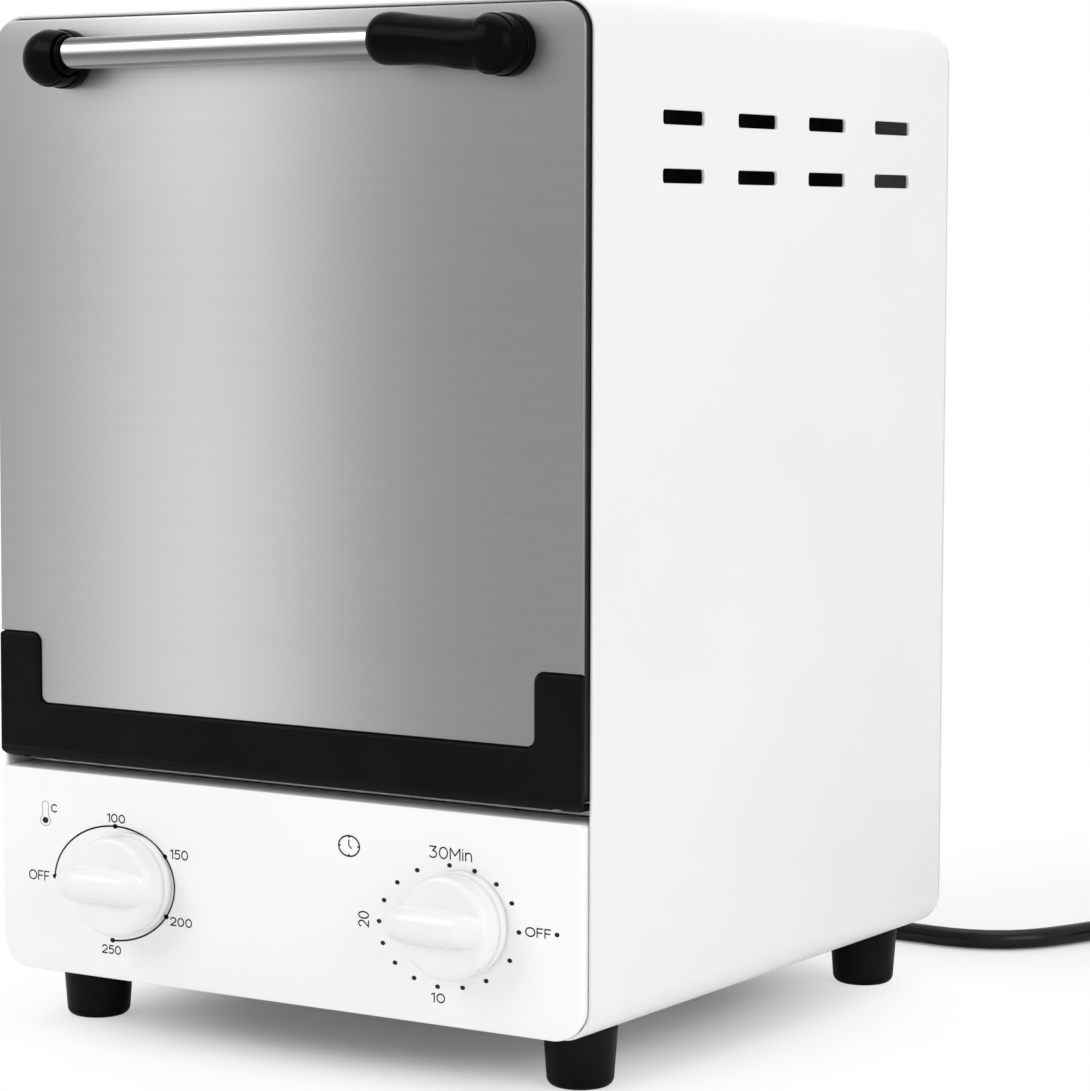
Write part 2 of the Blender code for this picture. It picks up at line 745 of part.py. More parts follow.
def base_plate():
    """A shallow channel that lies on the wrap's bottom flanges, turned up at the front and back."""
    low = SHEET + GAP
    front, rear = BASE_FRONT_Y, WRAP_END_Y - BASE_REAR_GAP
    outline = [Vector(point) for point in (
        (front, low), (rear, low), (rear, low + BASE_UPSTAND), (rear - SHEET, low + BASE_UPSTAND),
        (rear - SHEET, low + SHEET), (front + SHEET, low + SHEET),
        (front + SHEET, low + BASE_FRONT_UPSTAND), (front, low + BASE_FRONT_UPSTAND))]
    base = add_part("base_plate", plate("base_plate", outline, "X", -BASE_HALF_WIDTH, BASE_HALF_WIDTH),
                    ZINC_STEEL)
    boolean(base, foot_screw_holes(), "DIFFERENCE")
    middle = CASE_DEPTH / 2
    vents = [plate("vent", slot(side * BASE_VENT_HALF_SPREAD,
                                middle + (row - (BASE_VENT_ROWS - 1) / 2) * BASE_VENT_PITCH,
                                BASE_VENT_LENGTH, BASE_VENT_HEIGHT, BASE_VENT_HEIGHT / 3),
                   "Z", low - OVERRUN, low + SHEET + OVERRUN)
             for side in (-1, 1) for row in range(BASE_VENT_ROWS)]
    boolean(base, add_cutter("base_vent_cutter", joined("base_vent_cutter", vents)), "DIFFERENCE")


def back_panel():
    half = CASE_HALF - BACK_INSET
    outline = rectangle(-half, half, BACK_INSET, CASE_HEIGHT - BACK_INSET, CASE_RADIUS - BACK_INSET)
    holes = [circle(x, z, BACK_SCREW_RADIUS + GAP, 8) for x, z in back_screw_places()]
    holes.append(circle(GLAND_X, GLAND_Z, GLAND_NECK_RADIUS + GAP, 20))
    holes += [slot(side * BACK_VENT_HALF_SPREAD, BACK_VENT_TOP_Z - row * BACK_VENT_PITCH,
                   BACK_VENT_LENGTH, BACK_VENT_HEIGHT, BACK_VENT_HEIGHT / 3)
              for side in (-1, 1) for row in range(BACK_VENT_ROWS)]
    add_part("back_panel", plate("back_panel", outline, "Y", CASE_DEPTH, BACK_Y, holes,
                                 edge=HEM_SOFTENING), WHITE_PAINT)
    for number, (x, z) in enumerate(back_screw_places(), start=1):
        end = BACK_HEAD_Y + BACK_SCREW_HEAD
        profile = [
            (CASE_DEPTH - BACK_SCREW_LENGTH, BACK_SCREW_RADIUS - HEM_SOFTENING),
            (CASE_DEPTH - BACK_SCREW_LENGTH + HEM_SOFTENING, BACK_SCREW_RADIUS),
            (BACK_HEAD_Y, BACK_SCREW_RADIUS),
            (BACK_HEAD_Y, BACK_SCREW_HEAD_RADIUS),
            (BACK_HEAD_Y + BACK_SCREW_HEAD / 2, BACK_SCREW_HEAD_RADIUS),
            (end, BACK_SCREW_HEAD_RADIUS * SCREW_CROWN_SHARE),
        ]
        add_part(f"back_screw_{number}", turned("screw", profile, "Y", (x, z), 10), ZINC_STEEL)


def feet():
    top = -GAP
    seat = FLOOR_Z + FOOT_SCREW_SEAT
    bore = FOOT_SCREW_RADIUS + GAP
    edge = FOOT_EDGE / 4
    rounding = [(FLOOR_Z + FOOT_EDGE * (1 - cos(angle)), FOOT_LOW_RADIUS - FOOT_EDGE * (1 - sin(angle)))
                for angle in (0, pi / 6, pi / 3, pi / 2)]
    profile = [*rounding, (top - edge, FOOT_TOP_RADIUS), (top, FOOT_TOP_RADIUS - edge), (top, bore),
               (seat, bore), (seat, FOOT_RECESS_RADIUS), (FLOOR_Z, FOOT_RECESS_RADIUS)]
    head = seat - GAP
    tip = SHEET + GAP + SHEET + FOOT_SCREW_TIP
    screw = [
        (head - FOOT_SCREW_HEAD, FOOT_SCREW_HEAD_RADIUS * SCREW_CROWN_SHARE),
        (head - FOOT_SCREW_HEAD / 2, FOOT_SCREW_HEAD_RADIUS),
        (head, FOOT_SCREW_HEAD_RADIUS),
        (head, FOOT_SCREW_RADIUS),
        (tip, FOOT_SCREW_RADIUS),
    ]
    for corner, place in foot_places().items():
        add_part(f"foot_{corner}", turned("foot", profile, "Z", place, 20, closed=True), RUBBER)
        add_part(f"foot_screw_{corner}", turned("screw", screw, "Z", place, 12), ZINC_STEEL)


# Front: control panel, frame round the chamber's mouth and its seal

def control_panel():
    low = HEM_THICKNESS + PANEL_LOW_GAP
    corners = [(-FRONT_HALF, low, PANEL_LOW_CORNER), (FRONT_HALF, low, PANEL_LOW_CORNER),
               (FRONT_HALF, PANEL_TOP_Z, PANEL_TOP_CORNER), (-FRONT_HALF, PANEL_TOP_Z, PANEL_TOP_CORNER)]
    outer = fillet(corners)
    inner = inset(outer, PANEL_SHEET)
    end = PANEL_FRONT_Y + PANEL_DEPTH
    rings = [
        at(inset(outer, PANEL_EDGE), "Y", PANEL_FRONT_Y),
        at(inset(outer, PANEL_EDGE * (1 - sin(pi / 4))), "Y", PANEL_FRONT_Y + PANEL_EDGE * (1 - cos(pi / 4))),
        at(outer, "Y", PANEL_FRONT_Y + PANEL_EDGE),
        at(outer, "Y", end),
        at(inner, "Y", end),
        at(inner, "Y", PANEL_REAR_Y),
    ]
    bores = [circle(x, KNOB_Z, SHAFT_RADIUS + GAP, 16) for x in (TEMPERATURE_X, TIMER_X)]
    holes = [(at(bore, "Y", PANEL_FRONT_Y), at(bore, "Y", PANEL_REAR_Y)) for bore in bores]
    add_part("control_panel", loft("control_panel", rings, holes), PANEL_PAINT)


def chamber_outline(grow=0):
    """The chamber's mouth, moved outwards by a distance."""
    half = CHAMBER_HALF_WIDTH + grow
    return rectangle(-half, half, CHAMBER_LOW_Z - grow, CHAMBER_TOP_Z + grow, CHAMBER_CORNER + grow)


def front_frame():
    half = CASE_HALF - SHEET - GAP
    top = CASE_HEIGHT - SHEET - GAP
    corner = CASE_RADIUS - SHEET - GAP
    outer = fillet([(-half, FRAME_LOW_Z, 0), (half, FRAME_LOW_Z, 0), (half, top, corner),
                    (-half, top, corner)])
    inner = inset(outer, SHEET)
    rings = [at(outer, "Y", FRAME_Y), at(outer, "Y", FRAME_Y + FRAME_FLANGE),
             at(inner, "Y", FRAME_Y + FRAME_FLANGE), at(inner, "Y", FRAME_Y + SHEET)]
    cuts = [chamber_outline()]
    for side in (-1, 1):
        cuts.append(arm_slot(side))
        cuts.append(ear_slot(side))
    holes = [(at(cut, "Y", FRAME_Y), at(cut, "Y", FRAME_Y + SHEET)) for cut in cuts]
    add_part("front_frame", loft("front_frame", rings, holes), ZINC_STEEL)
    outer = chamber_outline(SEAL_MARGIN + SEAL_WIDTH)
    front = FRAME_Y - GAP - SEAL_THICKNESS
    add_part("door_seal", plate("door_seal", outer, "Y", front, FRAME_Y - GAP,
                                [chamber_outline(SEAL_MARGIN)]), SEAL_RUBBER)


def arm_slot(side):
    """The slot that a stay arm swings through, with the arm's arc inside it all the way."""
    reach = FRAME_Y + SHEET - HINGE_Y
    low = HINGE_Z + sqrt((ARM_RADIUS - ARM_WIDTH / 2) ** 2 - reach ** 2) - ARM_WIDTH / 6
    high = HINGE_Z + ARM_RADIUS + ARM_WIDTH / 2 + ARM_WIDTH / 6
    middle = side * (ARM_X + ARM_THICKNESS / 2)
    return slot(middle, (low + high) / 2, ARM_THICKNESS + 2 * ARM_THICKNESS / 3, high - low, GAP)


def ear_slot(side):
    return slot(side * (EAR_X + EAR_THICKNESS / 2), HINGE_Z, EAR_THICKNESS + 2 * GAP,
                2 * (EAR_RADIUS + GAP), GAP)


# Chamber

def runner_corners(side, reach):
    """Corners of the pressed runners of one side wall, from the bottom up."""
    corners = []
    for index in range(RUNNER_COUNT):
        top = RUNNER_LOW_Z + index * RUNNER_PITCH
        low = top - RUNNER_HEIGHT
        wall = side * CHAMBER_HALF_WIDTH
        tip = side * (CHAMBER_HALF_WIDTH - reach)
        corners += [(wall, low - RUNNER_REACH / 2, 0), (tip, low, 0), (tip, top, 0), (wall, top, 0)]
    return corners


def liner_loop(reach):
    """The liner's inner outline, with its runners pressed in by a reach."""
    half, radius = CHAMBER_HALF_WIDTH, CHAMBER_CORNER
    return fillet([(-half, CHAMBER_LOW_Z, radius), (half, CHAMBER_LOW_Z, radius), *runner_corners(1, reach),
                   (half, CHAMBER_TOP_Z, radius), (-half, CHAMBER_TOP_Z, radius),
                   *runner_corners(-1, reach)[::-1]])


def chamber_liner():
    front = FRAME_Y + SHEET + GAP
    inner = liner_loop(RUNNER_REACH)
    straight = liner_loop(0)
    outer = inset(inner, -LINER_SHEET)
    flange = inset(straight, -CHAMBER_FLANGE)
    rings = [
        at(outer, "Y", CHAMBER_REAR_Y),
        at(outer, "Y", front + LINER_SHEET),
        at(flange, "Y", front + LINER_SHEET),
        at(flange, "Y", front),
        at(inner, "Y", front),
        at(inner, "Y", CHAMBER_REAR_Y - LINER_SHEET),
    ]
    bores = [circle(x, z, HEATER_RADIUS + GAP, 12) for x, z in heater_ends()]
    bores.append(circle(BULB_X, BULB_Z, BULB_NECK_RADIUS + GAP, 10))
    holes = [(at(bore, "Y", CHAMBER_REAR_Y), at(bore, "Y", CHAMBER_REAR_Y - LINER_SHEET)) for bore in bores]
    add_part("chamber_liner", loft("chamber_liner", rings, holes), BRIGHT_STEEL)


def insulation():
    """A blanket over the liner's roof and down its sides."""
    depth_inner = -(LINER_SHEET + GAP)
    half, high = CHAMBER_HALF_WIDTH - depth_inner, CHAMBER_TOP_Z - depth_inner
    radius = CHAMBER_CORNER - depth_inner
    thick = BLANKET_THICKNESS

    def arch(grow):
        corner = radius + grow
        side, top = half + grow, high + grow
        bend = [Vector((side - corner + corner * cos(a), top - corner + corner * sin(a)))
                for a in (pi / 2 * k / 4 for k in range(5))]
        right = [Vector((side, BLANKET_LOW_Z)), *bend]
        return right + [Vector((-point.x, point.y)) for point in reversed(right)]

    inner, outer = arch(0), arch(thick)
    outline = outer + inner[::-1]
    add_part("insulation_blanket", plate("insulation_blanket", outline, "Y", BLANKET_FRONT_Y, BLANKET_REAR_Y),
             GLASS_WOOL)


def heater_levels():
    return {"upper": CHAMBER_TOP_Z - HEATER_WALL_GAP, "lower": CHAMBER_LOW_Z + HEATER_WALL_GAP}


def heater_ends():
    return [(side * HEATER_HALF_WIDTH, level) for level in heater_levels().values() for side in (-1, 1)]


def heaters():
    rear = CHAMBER_REAR_Y + HEATER_TAIL
    bore = HEATER_RADIUS + GAP
    start = CHAMBER_REAR_Y + GAP
    for name, level in heater_levels().items():
        corners = [(-HEATER_HALF_WIDTH, rear, level), (-HEATER_HALF_WIDTH, HEATER_FRONT_Y, level),
                   (HEATER_HALF_WIDTH, HEATER_FRONT_Y, level), (HEATER_HALF_WIDTH, rear, level)]
        add_tube(f"heater_{name}", bent(corners, HEATER_BEND), HEATER_RADIUS, SHEATH)
        profile = [(start, bore), (start, BUSH_RADIUS), (start + BUSH_COLLAR, BUSH_RADIUS),
                   (start + BUSH_COLLAR, BUSH_NECK_RADIUS), (start + BUSH_LENGTH, BUSH_NECK_RADIUS),
                   (start + BUSH_LENGTH, bore)]
        for side, word in ((-1, "left"), (1, "right")):
            add_part(f"heater_bush_{name}_{word}",
                     turned("bush", profile, "Y", (side * HEATER_HALF_WIDTH, level), 12, closed=True),
                     CERAMIC)


def temperature_sensor():
    neck_end = CHAMBER_REAR_Y + GAP + OVERRUN
    shoulder = CHAMBER_REAR_Y - LINER_SHEET - GAP
    profile = [
        (BULB_FRONT_Y, BULB_RADIUS / 2),
        (BULB_FRONT_Y + BULB_RADIUS / 2, BULB_RADIUS),
        (shoulder, BULB_RADIUS),
        (shoulder, BULB_NECK_RADIUS),
        (neck_end, BULB_NECK_RADIUS),
    ]
    add_part("sensor_bulb", turned("sensor_bulb", profile, "Y", (BULB_X, BULB_Z), 10), COPPER)
    back = neck_end + CAPILLARY_BACK_GAP
    entry = PANEL_REAR_Y + GAP + THERMOSTAT_DEPTH + GAP
    low = KNOB_Z + THERMOSTAT_SIZE / 4
    corners = [
        (BULB_X, neck_end + GAP, BULB_Z), (BULB_X, back, BULB_Z), (BULB_X, back, CAPILLARY_LOW_Z),
        (BULB_X, CAPILLARY_TURN_Y, CAPILLARY_LOW_Z), (TEMPERATURE_X, CAPILLARY_TURN_Y, CAPILLARY_LOW_Z),
        (TEMPERATURE_X, CAPILLARY_TURN_Y, low), (TEMPERATURE_X, entry, low),
    ]
    add_tube("capillary_tube", bent(corners, CAPILLARY_BEND, 3), CAPILLARY_RADIUS, COPPER, resolution=1)


# Controls

def knob(name, x, pivot):
    """A dished cap with a smooth ridge across its face, whose end runs past the rim as a pointer."""
    base = PANEL_FRONT_Y - KNOB_GAP
    bore = SHAFT_RADIUS + GAP
    profile = [(base - KNOB_BORE_DEPTH, bore), (base, bore)]
    profile += [(base - share * KNOB_HEIGHT, radius_share * KNOB_RADIUS)
                for share, radius_share in KNOB_PROFILE_SHARES]
    body = add_part(name, turned(name, profile, "Y", (x, KNOB_Z), 24), KNOB_PLASTIC, pivot)
    root = base - KNOB_RIDGE_ROOT
    crown = base - KNOB_HEIGHT + KNOB_RIDGE_SINK
    rings = []
    for along_share, nose_share, width_share, height_share in RIDGE_SHARES:
        along = x + along_share * KNOB_RADIUS - nose_share * KNOB_NOSE
        half = width_share * KNOB_RIDGE_HALF_WIDTH
        rise = (root - crown) * height_share
        angles = [pi * k / 8 for k in range(9)]
        rings.append([Vector((along, root - rise * sin(a) ** RIDGE_CROWN_SHARE, KNOB_Z + half * cos(a)))
                      for a in angles])
    ridge = add_cutter(f"{name}_ridge", loft("ridge", rings), pivot)
    boolean(body, ridge, "UNION")


def shaft(name, x, pivot):
    end = PANEL_FRONT_Y - KNOB_GAP - KNOB_BORE_DEPTH + GAP
    edge = SHAFT_RADIUS / 6
    profile = [(SHAFT_START_Y, SHAFT_RADIUS), (end + edge, SHAFT_RADIUS), (end, SHAFT_RADIUS - edge)]
    add_part(name, turned(name, profile, "Y", (x, KNOB_Z), 16), BRIGHT_STEEL, pivot)


def thermostat():
    half = THERMOSTAT_SIZE / 2
    front = PANEL_REAR_Y + GAP
    outline = rectangle(TEMPERATURE_X - half, TEMPERATURE_X + half, KNOB_Z - half, KNOB_Z + half,
                        THERMOSTAT_CORNER)
    body = add_part("thermostat_body", plate("thermostat_body", outline, "Y", front + THERMOSTAT_DEPTH, front,
                                             edge=THERMOSTAT_EDGE), DARK_PLASTIC)
    bore = plate("bore", circle(TEMPERATURE_X, KNOB_Z, SHAFT_RADIUS + GAP, 16), "Y",
                 front - OVERRUN, SHAFT_START_Y + GAP)
    boolean(body, add_cutter("thermostat_bore", bore), "DIFFERENCE")


def timer():
    front = PANEL_REAR_Y + GAP
    rear = front + TIMER_DEPTH
    bore = SHAFT_RADIUS + GAP
    profile = [
        (SHAFT_START_Y + GAP, bore),
        (front, bore),
        (front, TIMER_RADIUS - TIMER_EDGE),
        (front + TIMER_EDGE, TIMER_RADIUS),
        (rear - TIMER_STEP, TIMER_RADIUS),
        (rear - TIMER_STEP, TIMER_RADIUS - TIMER_EDGE),
        (rear, TIMER_RADIUS - TIMER_EDGE),
    ]
    add_part("timer_body", turned("timer_body", profile, "Y", (TIMER_X, KNOB_Z), 24), DARK_PLASTIC)
    boss = rear + GAP
    dome = boss + BELL_BOSS
    angles = [pi / 2 * share for share in BELL_ARC_SHARES]
    outer = [(dome + BELL_DEPTH * (1 - cos(a)), BELL_RADIUS * sin(a)) for a in angles]
    inner = [(dome + BELL_WALL + (BELL_DEPTH - BELL_WALL) * (1 - cos(a)), (BELL_RADIUS - BELL_WALL) * sin(a))
             for a in angles[::-1]]
    profile = [(boss, BELL_BOSS_RADIUS), (dome, BELL_BOSS_RADIUS), *outer, *inner,
               (dome + BELL_WALL, BELL_BOSS_RADIUS / 2)]
    add_part("timer_bell", turned("timer_bell", profile, "Y", (TIMER_X, KNOB_Z), 20), BRIGHT_STEEL)


def wiring():
    low = SHEET + GAP + SHEET + GAP
    top = low + BLOCK_HEIGHT
    left = BLOCK_X - BLOCK_LENGTH / 2
    pitch = BLOCK_LENGTH / BLOCK_WAYS
    corners = [(left, low, 0), (left + BLOCK_LENGTH, low, 0)]
    for way in range(BLOCK_WAYS - 1, -1, -1):
        right = left + (way + 1) * pitch
        corners.append((right - (BLOCK_GROOVE / 4 if way < BLOCK_WAYS - 1 else 0), top, 0))
        corners.append((right - pitch + (BLOCK_GROOVE / 4 if way else 0), top, 0))
        if way:
            corners.append((right - pitch + BLOCK_GROOVE / 4, top - BLOCK_GROOVE, 0))
            corners.append((right - pitch - BLOCK_GROOVE / 4, top - BLOCK_GROOVE, 0))
    front, rear = BLOCK_Y - BLOCK_DEPTH / 2, BLOCK_Y + BLOCK_DEPTH / 2
    add_part("terminal_block", plate("terminal_block", fillet(corners), "Y", front, rear), CERAMIC)
    entry = PANEL_REAR_Y + GAP + THERMOSTAT_DEPTH + GAP
    inlet = BACK_Y - GAP - GLAND_FLANGE - GAP
    floor = low + LEAD_FLOOR
    supply = [(GLAND_X, inlet, GLAND_Z), (GLAND_X, rear + 2 * LEAD_BEND, GLAND_Z),
              (BLOCK_X, rear + 2 * LEAD_BEND, floor), (BLOCK_X, rear + GAP, floor)]
    controls = [(BLOCK_X - pitch, front - GAP, floor), (BLOCK_X - pitch, front - 3 * LEAD_BEND, floor),
                (TEMPERATURE_X, entry + 3 * LEAD_BEND, floor), (TEMPERATURE_X, entry, floor)]
    tail = CHAMBER_REAR_Y + HEATER_TAIL + GAP
    level = heater_levels()["lower"]
    back = tail + HEATER_LEAD_BEND + GAP
    rise = [(BLOCK_X - pitch / 2, BLOCK_Y, top + GAP), (BLOCK_X - pitch / 2, BLOCK_Y, level / 2),
            (-HEATER_HALF_WIDTH, back, level - 3 * LEAD_BEND),
            (-HEATER_HALF_WIDTH, back, level), (-HEATER_HALF_WIDTH, tail, level)]
    add_tube("lead_supply", bent(supply, LEAD_BEND, 3), LEAD_RADIUS, DARK_PLASTIC, resolution=1)
    add_tube("lead_controls", bent(controls, LEAD_BEND, 3), LEAD_RADIUS, DARK_PLASTIC, resolution=1)
    add_tube("lead_heaters", bent(rise, HEATER_LEAD_BEND, 3), LEAD_RADIUS, DARK_PLASTIC, resolution=1)


# Door

def trim_outline():
    """The U that the trim covers: a bar along the bottom and a short tower at each side."""
    inner = FRONT_HALF - TRIM_TOWER_WIDTH
    bar, tower = DOOR_LOW_Z + TRIM_BAR_HEIGHT, DOOR_LOW_Z + TRIM_TOWER_HEIGHT
    edge, corner = TRIM_TOP_CORNER, TRIM_CORNER
    return [(-FRONT_HALF, DOOR_LOW_Z, corner), (FRONT_HALF, DOOR_LOW_Z, corner),
            (FRONT_HALF, tower, edge), (inner, tower, corner), (inner, bar, corner),
            (-inner, bar, corner), (-inner, tower, corner), (-FRONT_HALF, tower, edge)]


def door_skin():
    """The stainless face, cut away round the trim."""
    inner = FRONT_HALF - TRIM_TOWER_WIDTH - GAP
    bar, tower = DOOR_LOW_Z + TRIM_BAR_HEIGHT + GAP, DOOR_LOW_Z + TRIM_TOWER_HEIGHT + GAP
    corners = [(-inner, bar, TRIM_CORNER - GAP), (inner, bar, TRIM_CORNER - GAP),
               (inner, tower, TRIM_CORNER + GAP), (FRONT_HALF, tower, 0),
               (FRONT_HALF, DOOR_TOP_Z, DOOR_CORNER), (-FRONT_HALF, DOOR_TOP_Z, DOOR_CORNER),
               (-FRONT_HALF, tower, 0), (-inner, tower, TRIM_CORNER + GAP)]
    mesh = plate("door_skin", fillet(corners, 5), "Y", DOOR_FRONT_Y, DOOR_FRONT_Y + SHEET,
                 edge=DOOR_SKIN_EDGE)
    add_part("door_skin", mesh, BRUSHED_STEEL, door_pivot)


def door_loop(low):
    return [(-FRONT_HALF, low, TRIM_CORNER), (FRONT_HALF, low, TRIM_CORNER),
            (FRONT_HALF, DOOR_TOP_Z, DOOR_CORNER), (-FRONT_HALF, DOOR_TOP_Z, DOOR_CORNER)]


def hinge_notches(name, outside=EAR_X + EAR_THICKNESS):
    """Room at the door's bottom edge for the fixed ears, which reach in from behind and below."""
    cuts = []
    for side in (-1, 1):
        low_x, high_x = sorted((side * (EAR_X - 2 * GAP), side * (outside + 2 * GAP)))
        outline = rectangle(PAN_FRONT_Y - GAP / 2, DOOR_REAR_Y + OVERRUN, DOOR_LOW_Z - OVERRUN,
                            HINGE_Z + EAR_RADIUS + 2 * GAP, GAP / 2, 1)
        cuts.append(plate("notch", outline, "X", low_x, high_x))
    return add_cutter(name, joined(name, cuts), door_pivot)


def door_pan():
    outer = fillet(door_loop(PAN_LOW_Z), 5)
    inner = inset(outer, SHEET)
    rings = [at(outer, "Y", PAN_FRONT_Y), at(outer, "Y", DOOR_REAR_Y), at(inner, "Y", DOOR_REAR_Y),
             at(inner, "Y", PAN_FRONT_Y + SHEET)]
    pan = add_part("door_pan", loft("door_pan", rings), BLACK_PAINT, door_pivot)
    pin_end = ARM_X + ARM_THICKNESS + GAP + PIN_HEAD
    boolean(pan, hinge_notches("pan_notch_cutter", pin_end), "DIFFERENCE")


def door_inner_panel():
    """The inner face, with a raised plug that reaches into the chamber's mouth."""
    edge = inset(fillet(door_loop(PAN_LOW_Z), 5), SHEET + GAP)
    low, high = CHAMBER_LOW_Z + PLUG_MARGIN, CHAMBER_TOP_Z - PLUG_MARGIN

    def plug(grow):
        half = PLUG_HALF_WIDTH + grow
        return rectangle(-half, half, low - grow, high + grow, PLUG_CORNER + grow, 5)

    front, rear = DOOR_REAR_Y - SHEET, DOOR_REAR_Y
    rings = [
        at(plug(-SHEET - PLUG_SLOPE), "Y", front + PLUG_DEPTH),
        at(plug(-SHEET), "Y", front),
        at(edge, "Y", front),
        at(edge, "Y", rear),
        at(plug(0), "Y", rear),
        at(plug(-PLUG_SLOPE), "Y", rear + PLUG_DEPTH),
    ]
    panel = add_part("door_inner_panel", loft("door_inner_panel", rings), BRIGHT_STEEL, door_pivot)
    boolean(panel, hinge_notches("inner_notch_cutter"), "DIFFERENCE")
    slots = [plate("slot", arm_slot(side), "Y", front - OVERRUN, rear + OVERRUN) for side in (-1, 1)]
    boolean(panel, add_cutter("arm_slot_cutter", joined("arm_slot_cutter", slots), door_pivot), "DIFFERENCE")


def door_trim():
    """A moulded U whose bottom edge is rounded and lips back under the door."""
    mesh = plate("door_trim", fillet(trim_outline(), 3), "Y", TRIM_FRONT_Y, TRIM_FRONT_Y + TRIM_LIP_DEPTH,
                 edge=TRIM_EDGE)
    trim = add_part("door_trim", mesh, TRIM_PLASTIC, door_pivot)
    wide = FRONT_HALF + OVERRUN
    behind = [Vector(point) for point in (
        (TRIM_REAR_Y, DOOR_LOW_Z + TRIM_LIP_HEIGHT), (DOOR_REAR_Y + OVERRUN, DOOR_LOW_Z + TRIM_LIP_HEIGHT),
        (DOOR_REAR_Y + OVERRUN, DOOR_LOW_Z + TRIM_TOWER_HEIGHT + OVERRUN),
        (TRIM_REAR_Y, DOOR_LOW_Z + TRIM_TOWER_HEIGHT + OVERRUN))]
    boolean(trim, add_cutter("trim_core_cutter", plate("core", behind, "X", -wide, wide), door_pivot),
            "DIFFERENCE")
    radius = TRIM_ROUNDING
    centre_y, centre_z = TRIM_FRONT_Y + radius, DOOR_LOW_Z + radius
    curve = [Vector((centre_y - radius * cos(a), centre_z - radius * sin(a)))
             for a in (pi / 2 * k / 5 for k in range(6))]
    corner = [Vector((centre_y, DOOR_LOW_Z - OVERRUN)),
              Vector((TRIM_FRONT_Y - OVERRUN, DOOR_LOW_Z - OVERRUN)),
              Vector((TRIM_FRONT_Y - OVERRUN, centre_z))]
    outline = curve + corner
    boolean(trim, add_cutter("trim_round_cutter", plate("round", outline, "X", -wide, wide), door_pivot),
            "DIFFERENCE")
    boolean(trim, hinge_notches("trim_notch_cutter"), "DIFFERENCE")


def handle():
    seat = DOOR_FRONT_Y - GAP
    front = DOOR_FRONT_Y - POST_LENGTH
    bore = BAR_RADIUS + GAP
    dome = POST_RADIUS - POST_STEP - POST_EDGE
    for side, word in ((-1, "left"), (1, "right")):
        x = HANDLE_OFFSET + side * HANDLE_HALF_SPAN
        profile = [
            (seat, POST_RADIUS),
            (seat - POST_BASE, POST_RADIUS),
            (seat - POST_BASE - POST_STEP, POST_RADIUS - POST_STEP),
            (front + POST_EDGE, POST_RADIUS - POST_STEP),
            (front, dome),
            *[(front - POST_DOME * sin(a), dome * cos(a)) for a in (pi / 10 * k for k in range(1, 5))],
        ]
        post = add_part(f"handle_post_{word}", turned("post", profile, "Y", (x, HANDLE_Z), 24),
                        HANDLE_PLASTIC, door_pivot)
        end = x - side * COLLAR_REACH
        collar = turned("collar", [(x, COLLAR_RADIUS - POST_EDGE), (x - side * POST_EDGE, COLLAR_RADIUS),
                                   (end, COLLAR_RADIUS)], "X", (BAR_Y, HANDLE_Z), 24)
        boolean(post, add_cutter(f"collar_{word}", collar, door_pivot), "UNION")
        drill = turned("drill", [(x - side * BAR_END_OVERLAP + side * GAP, bore),
                                 (end - side * OVERRUN, bore)], "X", (BAR_Y, HANDLE_Z), 28)
        boolean(post, add_cutter(f"bar_drill_{word}", drill, door_pivot), "DIFFERENCE")
    reach = HANDLE_HALF_SPAN - BAR_END_OVERLAP
    bar = turned("handle_bar", [(HANDLE_OFFSET - reach, BAR_RADIUS), (HANDLE_OFFSET + reach, BAR_RADIUS)],
                 "X", (BAR_Y, HANDLE_Z), 28)
    add_part("handle_bar", bar, CHROME, door_pivot)
    end = HANDLE_OFFSET + HANDLE_HALF_SPAN - COLLAR_REACH - GAP
    start = end - GRIP_LENGTH
    outer = [at(circle(BAR_Y, HANDLE_Z + lift * GRIP_LIFT, share * GRIP_RADIUS, 28), "X",
                start + along * GRIP_LENGTH) for along, share, lift in GRIP_SHARES]
    inner = [at(circle(BAR_Y, HANDLE_Z, bore, 28), "X", place) for place in (end, start)]
    add_part("handle_grip", loft("handle_grip", outer + inner, closed=True), HANDLE_PLASTIC, door_pivot)


